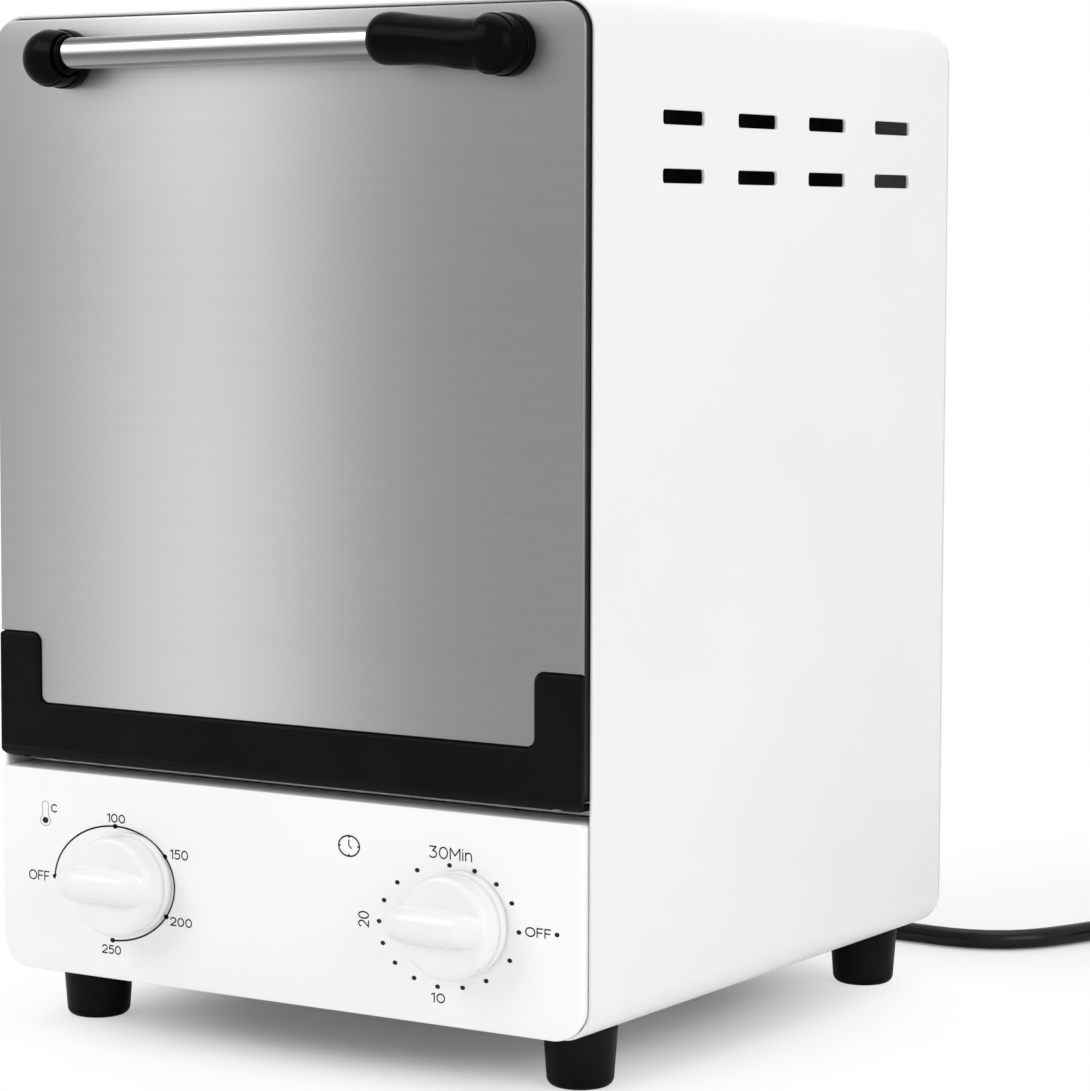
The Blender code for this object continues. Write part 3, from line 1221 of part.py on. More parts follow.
def hinge_set(side, word):
    """The fixed bracket and pin, and the stamped arm that turns with the door."""
    ear = [Vector((HINGE_Y - EAR_RADIUS * cos(a), HINGE_Z + EAR_RADIUS * sin(a)))
           for a in (pi / 2 - pi * k / 8 for k in range(9))]
    back = FRAME_Y + SHEET + GAP + EAR_FLANGE_THICKNESS
    ear += [Vector((back, HINGE_Z - EAR_RADIUS)), Vector((back, HINGE_Z + EAR_RADIUS))]
    low_x, high_x = sorted((side * EAR_X, side * (EAR_X + EAR_THICKNESS)))
    hole = circle(HINGE_Y, HINGE_Z, PIN_RADIUS + GAP, 16)
    bracket = add_part(f"hinge_bracket_{word}",
                       plate("ear", ear[::-1], "X", low_x, high_x, [hole]), ZINC_STEEL)
    low_x, high_x = sorted((side * (EAR_X + EAR_THICKNESS / 2), side * (EAR_X + EAR_FLANGE_WIDTH)))
    top = HINGE_Z + EAR_RADIUS / 2
    flange = rectangle(low_x, high_x, top - EAR_FLANGE_HEIGHT, top, GAP, 1)
    boolean(bracket, add_cutter(f"ear_flange_{word}", plate("flange", flange, "Y",
                                back - EAR_FLANGE_THICKNESS, back)), "UNION")
    outside = side * (ARM_X + ARM_THICKNESS + GAP)
    inside = side * (EAR_X - GAP)
    profile = [(inside, PIN_RADIUS), (outside, PIN_RADIUS), (outside, PIN_HEAD_RADIUS),
               (outside + side * PIN_HEAD, PIN_HEAD_RADIUS)]
    add_part(f"hinge_pin_{word}", turned("pin", profile, "X", (HINGE_Y, HINGE_Z), 16), BRIGHT_STEEL)
    low_x, high_x = sorted((side * ARM_X, side * (ARM_X + ARM_THICKNESS)))
    add_part(f"stay_arm_{word}",
             plate("arm", arm_outline(), "X", low_x, high_x, [hole]), ZINC_STEEL, door_pivot)


def arm_outline():
    """Hub round the pin, a straight web up inside the door and an arc that passes through the frame."""
    def on_arc(radius, degrees):
        angle = radians(degrees)
        return Vector((HINGE_Y + radius * sin(angle), HINGE_Z + radius * cos(angle)))

    inner, outer = ARM_RADIUS - ARM_WIDTH / 2, ARM_RADIUS + ARM_WIDTH / 2
    steps = 12
    sweep = (ARM_END_ANGLE - ARM_START_ANGLE) / steps
    front = HINGE_Y - ARM_WIDTH / 2
    web = HINGE_Y + ARM_WIDTH / 2
    points = [on_arc(outer, ARM_START_ANGLE + sweep * k) for k in range(steps)
              if ARM_START_ANGLE + sweep * k < ARM_HOOK_ANGLE]
    points += [on_arc(outer, ARM_HOOK_ANGLE), on_arc(outer + ARM_HOOK, ARM_HOOK_ANGLE),
               on_arc(outer + ARM_HOOK, ARM_END_ANGLE), on_arc(inner, ARM_END_ANGLE)]
    points += [on_arc(inner, ARM_END_ANGLE - sweep * k) for k in range(1, steps)
               if on_arc(inner, ARM_END_ANGLE - sweep * k).x > web + GAP]
    points.append(Vector((web, HINGE_Z + sqrt(inner ** 2 - (web - HINGE_Y) ** 2))))
    points.append(Vector((web, HINGE_Z + sqrt(ARM_HUB_RADIUS ** 2 - (ARM_WIDTH / 2) ** 2))))
    points += [Vector((HINGE_Y + ARM_HUB_RADIUS * cos(a), HINGE_Z + ARM_HUB_RADIUS * sin(a)))
               for a in (-pi * k / 8 for k in range(9))]
    points.append(Vector((front, HINGE_Z + sqrt(ARM_HUB_RADIUS ** 2 - (ARM_WIDTH / 2) ** 2))))
    points.append(Vector((front, HINGE_Z + outer)))
    return points[::-1]


# Tray

def tray():
    floor = TRAY_Z - TRAY_DEPTH
    rear = CHAMBER_REAR_Y - LINER_SHEET - TRAY_REAR_GAP
    rim = rectangle(-TRAY_HALF_WIDTH, TRAY_HALF_WIDTH, TRAY_FRONT_Y, rear, TRAY_CORNER)
    wall = inset(rim, TRAY_WALL_INSET)
    inside = inset(wall, TRAY_SHEET)
    rings = [
        at(inset(wall, TRAY_SHEET), "Z", floor),
        at(wall, "Z", floor + TRAY_SHEET),
        at(wall, "Z", TRAY_Z),
        at(rim, "Z", TRAY_Z),
        at(rim, "Z", TRAY_Z + TRAY_SHEET),
        at(inside, "Z", TRAY_Z + TRAY_SHEET),
        at(inset(inside, TRAY_SHEET), "Z", floor + TRAY_SHEET),
    ]
    length = rear - TRAY_FRONT_Y
    pitch_x = 2 * TRAY_HALF_WIDTH / (TRAY_SLOT_COLUMNS + 1)
    pitch_y = length / (TRAY_SLOT_ROWS + 1)
    holes = []
    for column in range(TRAY_SLOT_COLUMNS):
        for row in range(TRAY_SLOT_ROWS):
            hole = slot((column - (TRAY_SLOT_COLUMNS - 1) / 2) * pitch_x, TRAY_FRONT_Y + (row + 1) * pitch_y,
                        TRAY_SLOT_LENGTH, TRAY_SLOT_HEIGHT, TRAY_SLOT_HEIGHT / 3, 1)
            holes.append((at(hole, "Z", floor), at(hole, "Z", floor + TRAY_SHEET)))
    add_part("tray", loft("tray", rings, holes), BRIGHT_STEEL, tray_pivot)


# Mains lead

def gland_end():
    return CASE_DEPTH + GAP + GLAND_FLANGE + GLAND_LENGTH


def gland():
    inner = BACK_Y - GAP
    outer = CASE_DEPTH + GAP
    shoulder = outer + GLAND_FLANGE
    pitch = GLAND_LENGTH / GLAND_RIB_COUNT
    ribs = []
    for k in range(GLAND_RIB_COUNT):
        start = shoulder + k * pitch
        radius = GLAND_ROOT_RADIUS + (GLAND_TIP_RADIUS - GLAND_ROOT_RADIUS) * k / GLAND_RIB_COUNT
        ribs += [(start + pitch / 4, radius - GLAND_RIB_DEPTH), (start + 3 * pitch / 4, radius)]
    profile = [(inner - GLAND_FLANGE, GLAND_FLANGE_RADIUS - GAP), (inner, GLAND_FLANGE_RADIUS),
               (inner, GLAND_NECK_RADIUS), (outer, GLAND_NECK_RADIUS), (outer, GLAND_FLANGE_RADIUS),
               (shoulder - GAP, GLAND_FLANGE_RADIUS), (shoulder, GLAND_ROOT_RADIUS), *ribs,
               (gland_end(), GLAND_TIP_RADIUS)]
    add_part("cord_gland", turned("cord_gland", profile, "Y", (GLAND_X, GLAND_Z), 16), CORD_PLASTIC)


def coil_points():
    """Loops that spiral in on the floor, climb a layer at the middle and spiral out on top."""
    low = FLOOR_Z + CORD_RADIUS + CORD_LIFT
    half = COIL_LAYER_TURNS * COIL_LOOP_COUNT
    climb = COIL_LOOP_COUNT / 2
    total = int(2 * half + climb)
    points = []
    for k in range(total + 1):
        if k < half:
            radius = COIL_INNER_RADIUS + (half - k) / COIL_LOOP_COUNT * COIL_PITCH
            height = low
        elif k <= half + climb:
            share = (k - half) / climb
            radius = COIL_INNER_RADIUS - COIL_PITCH / 2 * share * (1 - share)
            height = low + COIL_RISE * (1 - cos(pi * share)) / 2
        else:
            radius = COIL_INNER_RADIUS + (k - half - climb) / COIL_LOOP_COUNT * COIL_PITCH
            height = low + COIL_RISE
        angle = pi - 2 * pi * k / COIL_LOOP_COUNT
        points.append(Vector((COIL_X + radius * cos(angle), COIL_Y + radius * sin(angle), height)))
    first = points[0] + Vector((0, -2 * CORD_RADIUS, 0))
    onward = (points[-1] - points[-2]).normalized()
    return [first, *points, points[-1] + onward * COIL_TAIL], onward


def least_self_gap(points, radius):
    """Least gap between stretches of one tube that are well apart along it."""
    fine = [a.lerp(b, k / 3) for a, b in zip(points, points[1:]) for k in range(3)]
    apart = COIL_LOOP_COUNT
    least = min((fine[i] - fine[j]).length for i in range(len(fine)) for j in range(i + apart, len(fine)))
    return least - 2 * radius


def mains_lead():
    gland()
    coil, onward = coil_points()
    add_tube("cord_coil", coil, CORD_RADIUS, CORD_PLASTIC, resolution=1)
    end = gland_end() + GAP
    first = Vector((GLAND_X, end, GLAND_Z))
    after = Vector((GLAND_X, end + 2 * CORD_RADIUS, GLAND_Z))
    middle = [Vector((x * MM, CASE_DEPTH + y * MM, FLOOR_Z + z * MM)) for x, y, z in CORD_ROUTE]
    last = coil[0] + Vector((0, -GAP, 0))
    before = last + Vector((0, -2 * CORD_RADIUS, 0))
    route = [first, *smooth_path([after, *middle, before], CORD_SPACING), last]
    add_tube("mains_cord", route, CORD_RADIUS, CORD_PLASTIC)
    plug(coil[-1] + onward * GAP, onward)
    print(f"cord: free run {path_length(route):.3f} m, coil {path_length(coil):.3f} m, "
          f"least gap in the coil {least_self_gap(coil, CORD_RADIUS) / MM:.2f} mm")


def plug(start, onward):
    """A flat-bodied two-pin plug that lies where the coil lets the cord out."""
    side = Vector((-onward.y, onward.x, 0))
    boot, body = PLUG_BOOT_LENGTH, PLUG_BODY_LENGTH
    sections = [(boot * along, PLUG_BOOT_RADIUS * share, PLUG_BOOT_RADIUS * share)
                for along, share in PLUG_BOOT_SHARES]
    sections += [(boot + body * along, PLUG_FACE_RADIUS * wide, PLUG_BODY_RADIUS * high)
                 for along, wide, high in PLUG_BODY_SHARES]
    rings = []
    for along, wide, high in sections:
        ring = [side * wide * cos(a) * (abs(cos(a)) + abs(sin(a))) ** PLUG_SQUARENESS_SHARE
                + Vector((0, 0, high * sin(a))) for a in (2 * pi * k / 20 for k in range(20))]
        rings.append([start + onward * along + point for point in ring])
    node = add_part("mains_plug", loft("mains_plug", rings), CORD_PLASTIC)
    tips = []
    for sign in (-1, 1):
        centre = start + side * sign * PLUG_PIN_SPACING / 2
        steps = 12
        root, end = boot + body - OVERRUN, boot + body + PLUG_PIN_LENGTH
        shape = [(root, PLUG_PIN_RADIUS), (end - PLUG_PIN_RADIUS / 2, PLUG_PIN_RADIUS),
                 (end, PLUG_PIN_RADIUS / 2)]
        tips.append(loft("pin", [[centre + onward * along + side * radius * cos(2 * pi * k / steps)
                                  + Vector((0, 0, radius * sin(2 * pi * k / steps))) for k in range(steps)]
                                 for along, radius in shape]))
    boolean(node, add_cutter("plug_pins", joined("plug_pins", tips)), "UNION")


clear_scene()
datum = add_empty("case_datum", (0, -CENTRE_Y, FOOT_HEIGHT))
door_pivot = add_empty("door_pivot", (0, HINGE_Y, HINGE_Z), datum)
temperature_pivot = add_empty("temperature_pivot", (TEMPERATURE_X, PANEL_FRONT_Y, KNOB_Z), datum)
timer_pivot = add_empty("timer_pivot", (TIMER_X, PANEL_FRONT_Y, KNOB_Z), datum)
tray_pivot = add_empty("tray_pivot", (0, TRAY_FRONT_Y, TRAY_Z), datum)

WHITE_PAINT = make_material("white_paint", (0.86, 0.86, 0.87), 0.35)
PANEL_PAINT = make_material("panel_paint", (0.91, 0.91, 0.91), 0.4)
BLACK_PAINT = make_material("black_paint", (0.035, 0.035, 0.037), 0.4)
BRUSHED_STEEL = make_material("brushed_steel", (0.52, 0.52, 0.51), 0.32, 1.0)
BRIGHT_STEEL = make_material("bright_steel", (0.66, 0.66, 0.66), 0.28, 1.0)
ZINC_STEEL = make_material("zinc_steel", (0.55, 0.56, 0.58), 0.4, 1.0)
CHROME = make_material("chrome", (0.86, 0.86, 0.87), 0.08, 1.0)
TRIM_PLASTIC = make_material("trim_plastic", (0.012, 0.012, 0.012), 0.35)
HANDLE_PLASTIC = make_material("handle_plastic", (0.012, 0.012, 0.012), 0.38)
KNOB_PLASTIC = make_material("knob_plastic", (0.92, 0.92, 0.92), 0.3)
DARK_PLASTIC = make_material("dark_plastic", (0.05, 0.05, 0.05), 0.5)
CORD_PLASTIC = make_material("cord_plastic", (0.015, 0.015, 0.015), 0.4)
RUBBER = make_material("rubber", (0.02, 0.02, 0.02), 0.7)
SEAL_RUBBER = make_material("seal_rubber", (0.35, 0.05, 0.03), 0.6)
GLASS_WOOL = make_material("glass_wool", (0.75, 0.66, 0.35), 0.95)
SHEATH = make_material("heater_sheath", (0.25, 0.24, 0.23), 0.45, 1.0)
CERAMIC = make_material("ceramic", (0.88, 0.85, 0.78), 0.4)
COPPER = make_material("copper", (0.72, 0.38, 0.24), 0.35, 1.0)

case_wrap()
base_plate()
back_panel()
feet()
control_panel()
front_frame()
chamber_liner()
insulation()
heaters()
temperature_sensor()
knob("temperature_knob", TEMPERATURE_X, temperature_pivot)
shaft("thermostat_shaft", TEMPERATURE_X, temperature_pivot)
thermostat()
knob("timer_knob", TIMER_X, timer_pivot)
shaft("timer_shaft", TIMER_X, timer_pivot)
timer()
wiring()
door_skin()
door_pan()
door_inner_panel()
door_trim()
handle()
hinge_set(-1, "left")
hinge_set(1, "right")
tray()
mains_lead()
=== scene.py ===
# %% [markdown]
# # A small bench steriliser, dressed for its portrait
# The CAD model already holds every solid and every joint of this dry-heat steriliser. This script is a lesson in
# dressing it: each visible part gets a finer mesh or a material that acts like the real finish, and the scene gets
# a camera, soft light and a pale floor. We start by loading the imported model, which must never be moved.

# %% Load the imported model
import json
from contextlib import contextmanager
from functools import partial
from math import atan2, cos, exp, pi, radians, sin, tan

import bmesh
import bpy
import numpy as np
from mathutils import Matrix, Vector


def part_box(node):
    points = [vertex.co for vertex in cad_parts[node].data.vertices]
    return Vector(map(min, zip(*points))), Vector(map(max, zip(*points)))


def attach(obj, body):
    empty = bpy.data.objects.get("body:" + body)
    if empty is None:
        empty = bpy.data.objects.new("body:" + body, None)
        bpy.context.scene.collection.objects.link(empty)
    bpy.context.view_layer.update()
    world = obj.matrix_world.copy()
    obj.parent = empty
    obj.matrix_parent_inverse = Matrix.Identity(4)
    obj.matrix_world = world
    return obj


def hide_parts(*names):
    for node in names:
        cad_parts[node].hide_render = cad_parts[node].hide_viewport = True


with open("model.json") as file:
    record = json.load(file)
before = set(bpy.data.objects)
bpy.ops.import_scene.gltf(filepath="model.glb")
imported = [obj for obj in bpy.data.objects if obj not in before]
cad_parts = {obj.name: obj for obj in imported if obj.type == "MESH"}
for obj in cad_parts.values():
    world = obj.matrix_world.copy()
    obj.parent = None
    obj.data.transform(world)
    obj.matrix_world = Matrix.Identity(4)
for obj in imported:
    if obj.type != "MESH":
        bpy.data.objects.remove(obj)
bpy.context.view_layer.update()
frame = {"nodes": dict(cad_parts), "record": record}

# %% [markdown]
# ## One set of measures
# Sizes on the drawing of the case are in millimetres from the middle of its front edge: x to the right, y towards
# the back and z up from the case's bottom. The scene itself is in metres with its origin on the bench, so one small
# function turns a drawing point into a scene point. It finds its bearings from the case wrap's own box.

# %% Drawing points to scene points
MM = 0.001
wrap_low, wrap_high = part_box("casing_wrap")
CASE_HALF = round((wrap_high.x - wrap_low.x) / MM / 2, 3)
CASE_HEIGHT = round((wrap_high.z - wrap_low.z) / MM, 3)
CASE_END = round((wrap_high.y - wrap_low.y) / MM, 3)
ORIGIN = Vector((0, wrap_low.y, wrap_low.z))
FLOOR = -wrap_low.z / MM


def spot(x, y, z):
    return ORIGIN + Vector((x, y, z)) * MM


def in_scene(name, data):
    """A new object in the scene, at the origin."""
    thing = bpy.data.objects.new(name, data)
    bpy.context.scene.collection.objects.link(thing)
    return thing


print(f"case {2 * CASE_HALF} wide, {CASE_END} to its rear lip, {CASE_HEIGHT} high, floor at {FLOOR:.2f}")

# %% [markdown]
# ## The camera
# A long lens stands to the right of the door and looks slightly down. Its place was worked out from the straight
# edges of the case: their directions in a picture fix the camera. A long lens keeps the sides nearly parallel.

# %% Set the camera
FOCAL_PIXELS, PICTURE_WIDTH, SENSOR = 3697.16, 1090, 36
CAMERA_PLACE = spot(660.803, -892.225, 234.838)
YAW, PITCH, ROLL = radians(32.448), radians(4.932), radians(-0.157)

camera_data = bpy.data.cameras.new("portrait_camera")
camera_data.sensor_fit = "HORIZONTAL"
camera_data.sensor_width = SENSOR
camera_data.lens = FOCAL_PIXELS / PICTURE_WIDTH * SENSOR
camera_data.clip_start, camera_data.clip_end = 0.05, 50
camera = in_scene("portrait_camera", camera_data)
forward = Vector((-sin(YAW) * cos(PITCH), cos(YAW) * cos(PITCH), -sin(PITCH)))
level = Vector((cos(YAW), sin(YAW), 0))
down = forward.cross(level)
right = level * cos(ROLL) + down * sin(ROLL)
below = down * cos(ROLL) - level * sin(ROLL)
camera.matrix_world = Matrix.Translation(CAMERA_PLACE) @ Matrix((right, -below, -forward)).transposed().to_4x4()
bpy.context.scene.camera = camera
print(f"lens {camera_data.lens:.1f} mm at", [round(v, 3) for v in camera.matrix_world.translation])

# %% [markdown]
# ## Making a piece
# Every finished piece is one mesh at the origin that rides on a body of the model and stands in for the plain solid
# of the same part. The record says which body each part rides on, so one function can look it up; the finish is passed
# in.

# %% Adopt a finished mesh
record = frame["record"]
BODY_OF = {node: body for body, members in record["behaviour"]["bodies"].items() for node in members}


def adopt(name, mesh, material, node, replaces=True, smooth=38):
    """Puts a finished mesh in the scene on the body of its part."""
    mesh.materials.clear()
    mesh.materials.append(material)
    mesh.shade_smooth()
    mesh.set_sharp_from_angle(angle=radians(smooth))
    piece = in_scene(name, mesh)
    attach(piece, BODY_OF[node])
    if replaces:
        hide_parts(node)
    return piece


# %% [markdown]
# Sheet metal and mouldings start from flat outlines. Here an outline is a list of corners, each with the radius it is
# bent to, and the function walks round it and lays points along every bend.

# %% Outlines with rounded corners


def rounded(corners, steps=10):
    points = []
    for index, (u, v, radius) in enumerate(corners):
        corner = Vector((u, v))
        if radius <= 0:
            points.append(corner)
            continue
        back = (Vector(corners[index - 1][:2]) - corner).normalized()
        ahead = (Vector(corners[(index + 1) % len(corners)][:2]) - corner).normalized()
        half = back.angle(ahead) / 2
        centre = corner + (back + ahead).normalized() * radius / sin(half)
        start = corner + back * radius / tan(half) - centre
        finish = corner + ahead * radius / tan(half) - centre
        turn = atan2(start.x * finish.y - start.y * finish.x, start.dot(finish))
        for step in range(steps + 1):
            points.append(centre + Matrix.Rotation(turn * step / steps, 2) @ start)
    return points


def mirrored(corners, steps):
    """An outline that is the same on both sides, from its right-hand corners in order, bottom first."""
    left = [(-u, v, radius) for u, v, radius in corners]
    return rounded([left[0], *corners, *left[:0:-1]], steps)


def box_outline(low_u, high_u, low_v, high_v, radius, steps=10):
    return rounded([(low_u, low_v, radius), (high_u, low_v, radius), (high_u, high_v, radius),
                    (low_u, high_v, radius)], steps)


def inward(points, distance):
    moved = []
    for index, point in enumerate(points):
        before = (point - points[index - 1]).normalized()
        after = (points[(index + 1) % len(points)] - point).normalized()
        bisector = Vector((-before.y - after.y, before.x + after.x))
        moved.append(point + bisector * (2 * distance / bisector.length_squared))
    return moved


print("a bent corner has", len(box_outline(0, 30, 0, 20, 5)) // 4, "points")

# %% [markdown]
# Most parts can then be built from rings: one outline after another, joined by walls and closed at both ends. A door
# skin is three rings, a knob is dozens. The end faces are filled with Blender's own tessellator, which also copes
# with holes.

# %% Build a body from rings
from mathutils.geometry import tessellate_polygon


@contextmanager
def editing(mesh):
    """Opens a mesh for editing and writes the changes back to it."""
    body = bmesh.new()
    body.from_mesh(mesh)
    yield body
    body.to_mesh(mesh)
    body.free()


def ring_body(name, rings, holes=(), closed=False, caps=(True, True)):
    points, faces = [], []

    def add(ring):
        first = len(points)
        points.extend(spot(*p) for p in ring)
        return list(range(first, first + len(ring)))

    def wall(a, b):
        faces.extend((a[k], a[(k + 1) % len(a)], b[(k + 1) % len(a)], b[k]) for k in range(len(a)))

    loops = [add(ring) for ring in rings]
    for a, b in zip(loops, loops[1:]):
        wall(a, b)
    if closed:
        wall(loops[-1], loops[0])
    else:
        bores = [(add(a), add(b)) for a, b in holes]
        for a, b in bores:
            wall(a, b)
        for end, wanted in ((0, caps[0]), (1, caps[1])):
            runs = [loops[-end], *(bore[end] for bore in bores)]
            flat = [index for run in runs for index in run]
            if wanted:
                faces.extend(tuple(flat[i] for i in triple) for triple in
                             tessellate_polygon([[points[index] / MM for index in run] for run in runs]))
    mesh = bpy.data.meshes.new(name)
    mesh.from_pydata([tuple(p) for p in points], [], faces)
    with editing(mesh) as body:
        bmesh.ops.recalc_face_normals(body, faces=body.faces)
    return mesh


def at_y(points, y):
    return [(u, y, v) for u, v in points]


def at_x(points, x):
    return [(x, u, v) for u, v in points]


def at_z(points, z):
    return [(u, v, z) for u, v in points]


def ellipse(u, v, half_u, half_v, steps=96):
    return [(u + half_u * cos(2 * pi * k / steps), v + half_v * sin(2 * pi * k / steps)) for k in range(steps)]


def circle(u, v, radius, steps=48):
    return [Vector(point) for point in ellipse(u, v, radius, radius, steps)]


def prism(outline, place, low, high):
    return ring_body("prism", [place(outline, low), place(outline, high)])


def turned(name, profile, place, centre, steps=64, closed=False):
    """A lathe-turned body: place is at_x, at_y or at_z, and the profile holds (level, radius) pairs."""
    return ring_body(name, [place(circle(*centre, radius, steps), at) for at, radius in profile], closed=closed)


def adopt_rings(name, rings, material, node, holes=(), closed=False, **options):
    return adopt(name, ring_body(name, rings, holes, closed), material, node, **options)


print("ring tools ready")

# %% [markdown]
# Edges are what tell the eye that metal is bent and plastic is moulded. This helper rounds the front edge of an
# outline over a quarter circle, so that light can run along it.

# %% Round an edge


def quarter(steps):
    """Angles of a quarter turn in equal steps."""
    return [pi / 2 * k / steps for k in range(steps + 1)]


def rounded_edge(outline, y, radius, side=1, steps=6):
    """Rings from a face at y round its edge. side is 1 when the body lies behind the face."""
    return [at_y(inward(outline, radius * (1 - sin(a))), y + side * radius * (1 - cos(a)))
            for a in quarter(steps)]


def arc(u, v, half_u, half_v, start, end, steps=16):
    """Part of an ellipse from start to end in degrees, with both its ends."""
    return [(u + half_u * cos(radians(start + (end - start) * k / steps)),
             v + half_v * sin(radians(start + (end - start) * k / steps))) for k in range(steps + 1)]


print("edge tools ready")

# %% [markdown]
# ## Finishes
# All patterns read the object's own coordinates in metres. A noise of scale 1000 therefore has millimetre-sized
# spots. Nodes are added through one helper that takes settings and inputs, where an input is a value or the output of
# another node. The others make a Principled material and a stretched noise that can drive colour, roughness and
# relief at once.

# %% Node and material helpers


def feed(tree, socket, value):
    """Links an output to a socket, or sets a plain value on it."""
    if isinstance(value, bpy.types.NodeSocket):
        tree.links.new(value, socket)
    elif value is not None:
        socket.default_value = value


def add_node(tree, kind, inputs, **settings):
    node = tree.nodes.new(kind)
    for setting, value in settings.items():
        setattr(node, setting, value)
    for key, value in inputs.items():
        feed(tree, node.inputs[key], value)
    return node


def maths(tree, operation, a, b=None):
    return add_node(tree, "ShaderNodeMath", {0: a, 1: b}, operation=operation).outputs[0]


def grey(level):
    return (level, level, level)


def new_finish(name, colour, roughness, metallic=0.0, **sockets):
    material = bpy.data.materials.new(name)
    material.use_nodes = True
    shader = material.node_tree.nodes["Principled BSDF"]
    shader.inputs["Base Color"].default_value = (*colour, 1)
    shader.inputs["Roughness"].default_value = roughness
    shader.inputs["Metallic"].default_value = metallic
    for socket, value in sockets.items():
        shader.inputs[socket.replace("_", " ")].default_value = value
    return material


def drive(material, socket, value):
    """Lets a node's output drive a socket of the material's shader."""
    material.node_tree.links.new(value, material.node_tree.nodes["Principled BSDF"].inputs[socket])


def object_place(tree):
    return add_node(tree, "ShaderNodeTexCoord", {}).outputs["Object"]


def add_noise(material, scale, stretch=(1, 1, 1), detail=3.0, roughness=0.5):
    tree = material.node_tree
    mapping = add_node(tree, "ShaderNodeMapping", {"Vector": object_place(tree), "Scale": stretch})
    return add_node(tree, "ShaderNodeTexNoise", {
        "Vector": mapping.outputs["Vector"], "Scale": scale, "Detail": detail, "Roughness": roughness}).outputs["Fac"]


def remap(material, value, low, high, from_low=0.3, from_high=0.7):
    """A noise value moved into the range low to high."""
    return add_node(material.node_tree, "ShaderNodeMapRange", {
        "Value": value, "From Min": from_low, "From Max": from_high, "To Min": low, "To Max": high}).outputs["Result"]


def tint(material, value, dark, light):
    """Base colour that runs from dark to light with a value between 0.3 and 0.7."""
    mix = add_node(material.node_tree, "ShaderNodeMix", {
        "A": (*dark, 1), "B": (*light, 1), "Factor": remap(material, value, 0, 1)}, data_type="RGBA")
    drive(material, "Base Color", mix.outputs["Result"])


def relief(material, value, strength, depth_mm):
    """Adds fine relief over any that the material has already."""
    normal = material.node_tree.nodes["Principled BSDF"].inputs["Normal"]
    bump = add_node(material.node_tree, "ShaderNodeBump", {
        "Strength": strength, "Distance": depth_mm * MM, "Height": value,
        "Normal": normal.links[0].from_socket if normal.is_linked else None})
    drive(material, "Normal", bump.outputs["Normal"])


def vary_roughness(material, value, low, high):
    drive(material, "Roughness", remap(material, value, low, high))


print("material tools ready")

# %% [markdown]
# **Powder coat and enamel.** The case is sprayed with a dry powder that melts into a skin with a faint orange-peel
# relief. The control panel is smoother and a touch whiter. Both get a very slight drift in tone, because no painted
# sheet is perfectly even.

# %% White finishes
WHITE_COAT = new_finish("white_powder_coat", (0.85, 0.85, 0.86), 0.42, IOR=1.5)
tint(WHITE_COAT, add_noise(WHITE_COAT, 9, detail=2), (0.835, 0.835, 0.85), (0.865, 0.865, 0.875))
peel = add_noise(WHITE_COAT, 900, detail=2)
relief(WHITE_COAT, peel, 0.25, 0.02)
vary_roughness(WHITE_COAT, add_noise(WHITE_COAT, 60), 0.38, 0.46)

WHITE_ENAMEL = new_finish("white_enamel", (0.955, 0.955, 0.95), 0.36, IOR=1.5)
tint(WHITE_ENAMEL, add_noise(WHITE_ENAMEL, 11, detail=2), (0.945, 0.945, 0.94), grey(0.97))
relief(WHITE_ENAMEL, add_noise(WHITE_ENAMEL, 700, detail=1), 0.15, 0.015)
vary_roughness(WHITE_ENAMEL, add_noise(WHITE_ENAMEL, 80), 0.32, 0.4)
print("white finishes:", WHITE_COAT.name, WHITE_ENAMEL.name)

# %% [markdown]
# ** Brushed steel.** An abrasive belt drags fine lines from left to right across the door. We get them by
# squeezing a noise: slow along x and very fast up z. Two bands of lines, one coarse and one hair-fine, change the
# tone, the roughness and the relief together, as real scratches do. Under the lines lies a painted reflection: a
# colour ramp along x paints a broad light band just left of the middle and a darker right side into the base colour.

# %% Brushed stainless steel


def ramp_along(material, value, low, high, stops):
    """A colour that follows a value in metres from low to high. stops are (place, brightness) pairs in metres."""
    node = material.node_tree.nodes.new("ShaderNodeValToRGB")
    node.color_ramp.interpolation = "B_SPLINE"
    elements = node.color_ramp.elements
    while len(elements) < len(stops):
        elements.new(0.5)
    for element, (place, brightness) in zip(elements, stops):
        element.position = (place - low) / (high - low)
        element.color = (brightness, brightness, brightness * 0.985, 1)
    material.node_tree.links.new(remap(material, value, 0, 1, low, high), node.inputs["Fac"])
    return node.outputs["Color"]


def axis_of(material, axis):
    tree = material.node_tree
    return add_node(tree, "ShaderNodeSeparateXYZ", {"Vector": object_place(tree)}).outputs[axis]


def shade(material, colour, value, low, high):
    """Base colour: a colour multiplied by low to high as a noise value runs from 0.3 to 0.7."""
    scaled = add_node(material.node_tree, "ShaderNodeVectorMath", {
        0: colour, "Scale": remap(material, value, low, high)}, operation="SCALE")
    drive(material, "Base Color", scaled.outputs["Vector"])


def brushed(name, dark, light, roughness, along=7.0, across=1500.0, depth=0.02, painted_reflection=None):
    material = new_finish(name, light, roughness, 1.0, Anisotropic=0.35)
    coarse = (along, across, across)
    lines = add_noise(material, 1, coarse, detail=4, roughness=0.65)
    hair = add_noise(material, 1, tuple(3.3 * v for v in coarse), detail=2)
    # Here a ramp along x paints a reflection into the base colour, which the brushed lines then scale.
    if painted_reflection:
        shade(material, ramp_along(material, axis_of(material, "X"), -0.12, 0.12, painted_reflection), lines, *dark)
    else:
        tint(material, lines, dark, light)
    vary_roughness(material, hair, roughness - 0.05, roughness + 0.08)
    relief(material, lines, 0.3, depth)
    relief(material, hair, 0.2, depth * 0.4)
    return material


# Painted reflection on the door: a bright band left of the middle and a darker right side, painted into the base
# colour.
LIGHT_BAND_X, LIGHT_BAND_WIDTH = -0.028, 0.053
LEFT_PAINTED_REFLECTION, BAND_PAINTED_REFLECTION, RIGHT_PAINTED_REFLECTION = 0.33, 0.635, 0.257


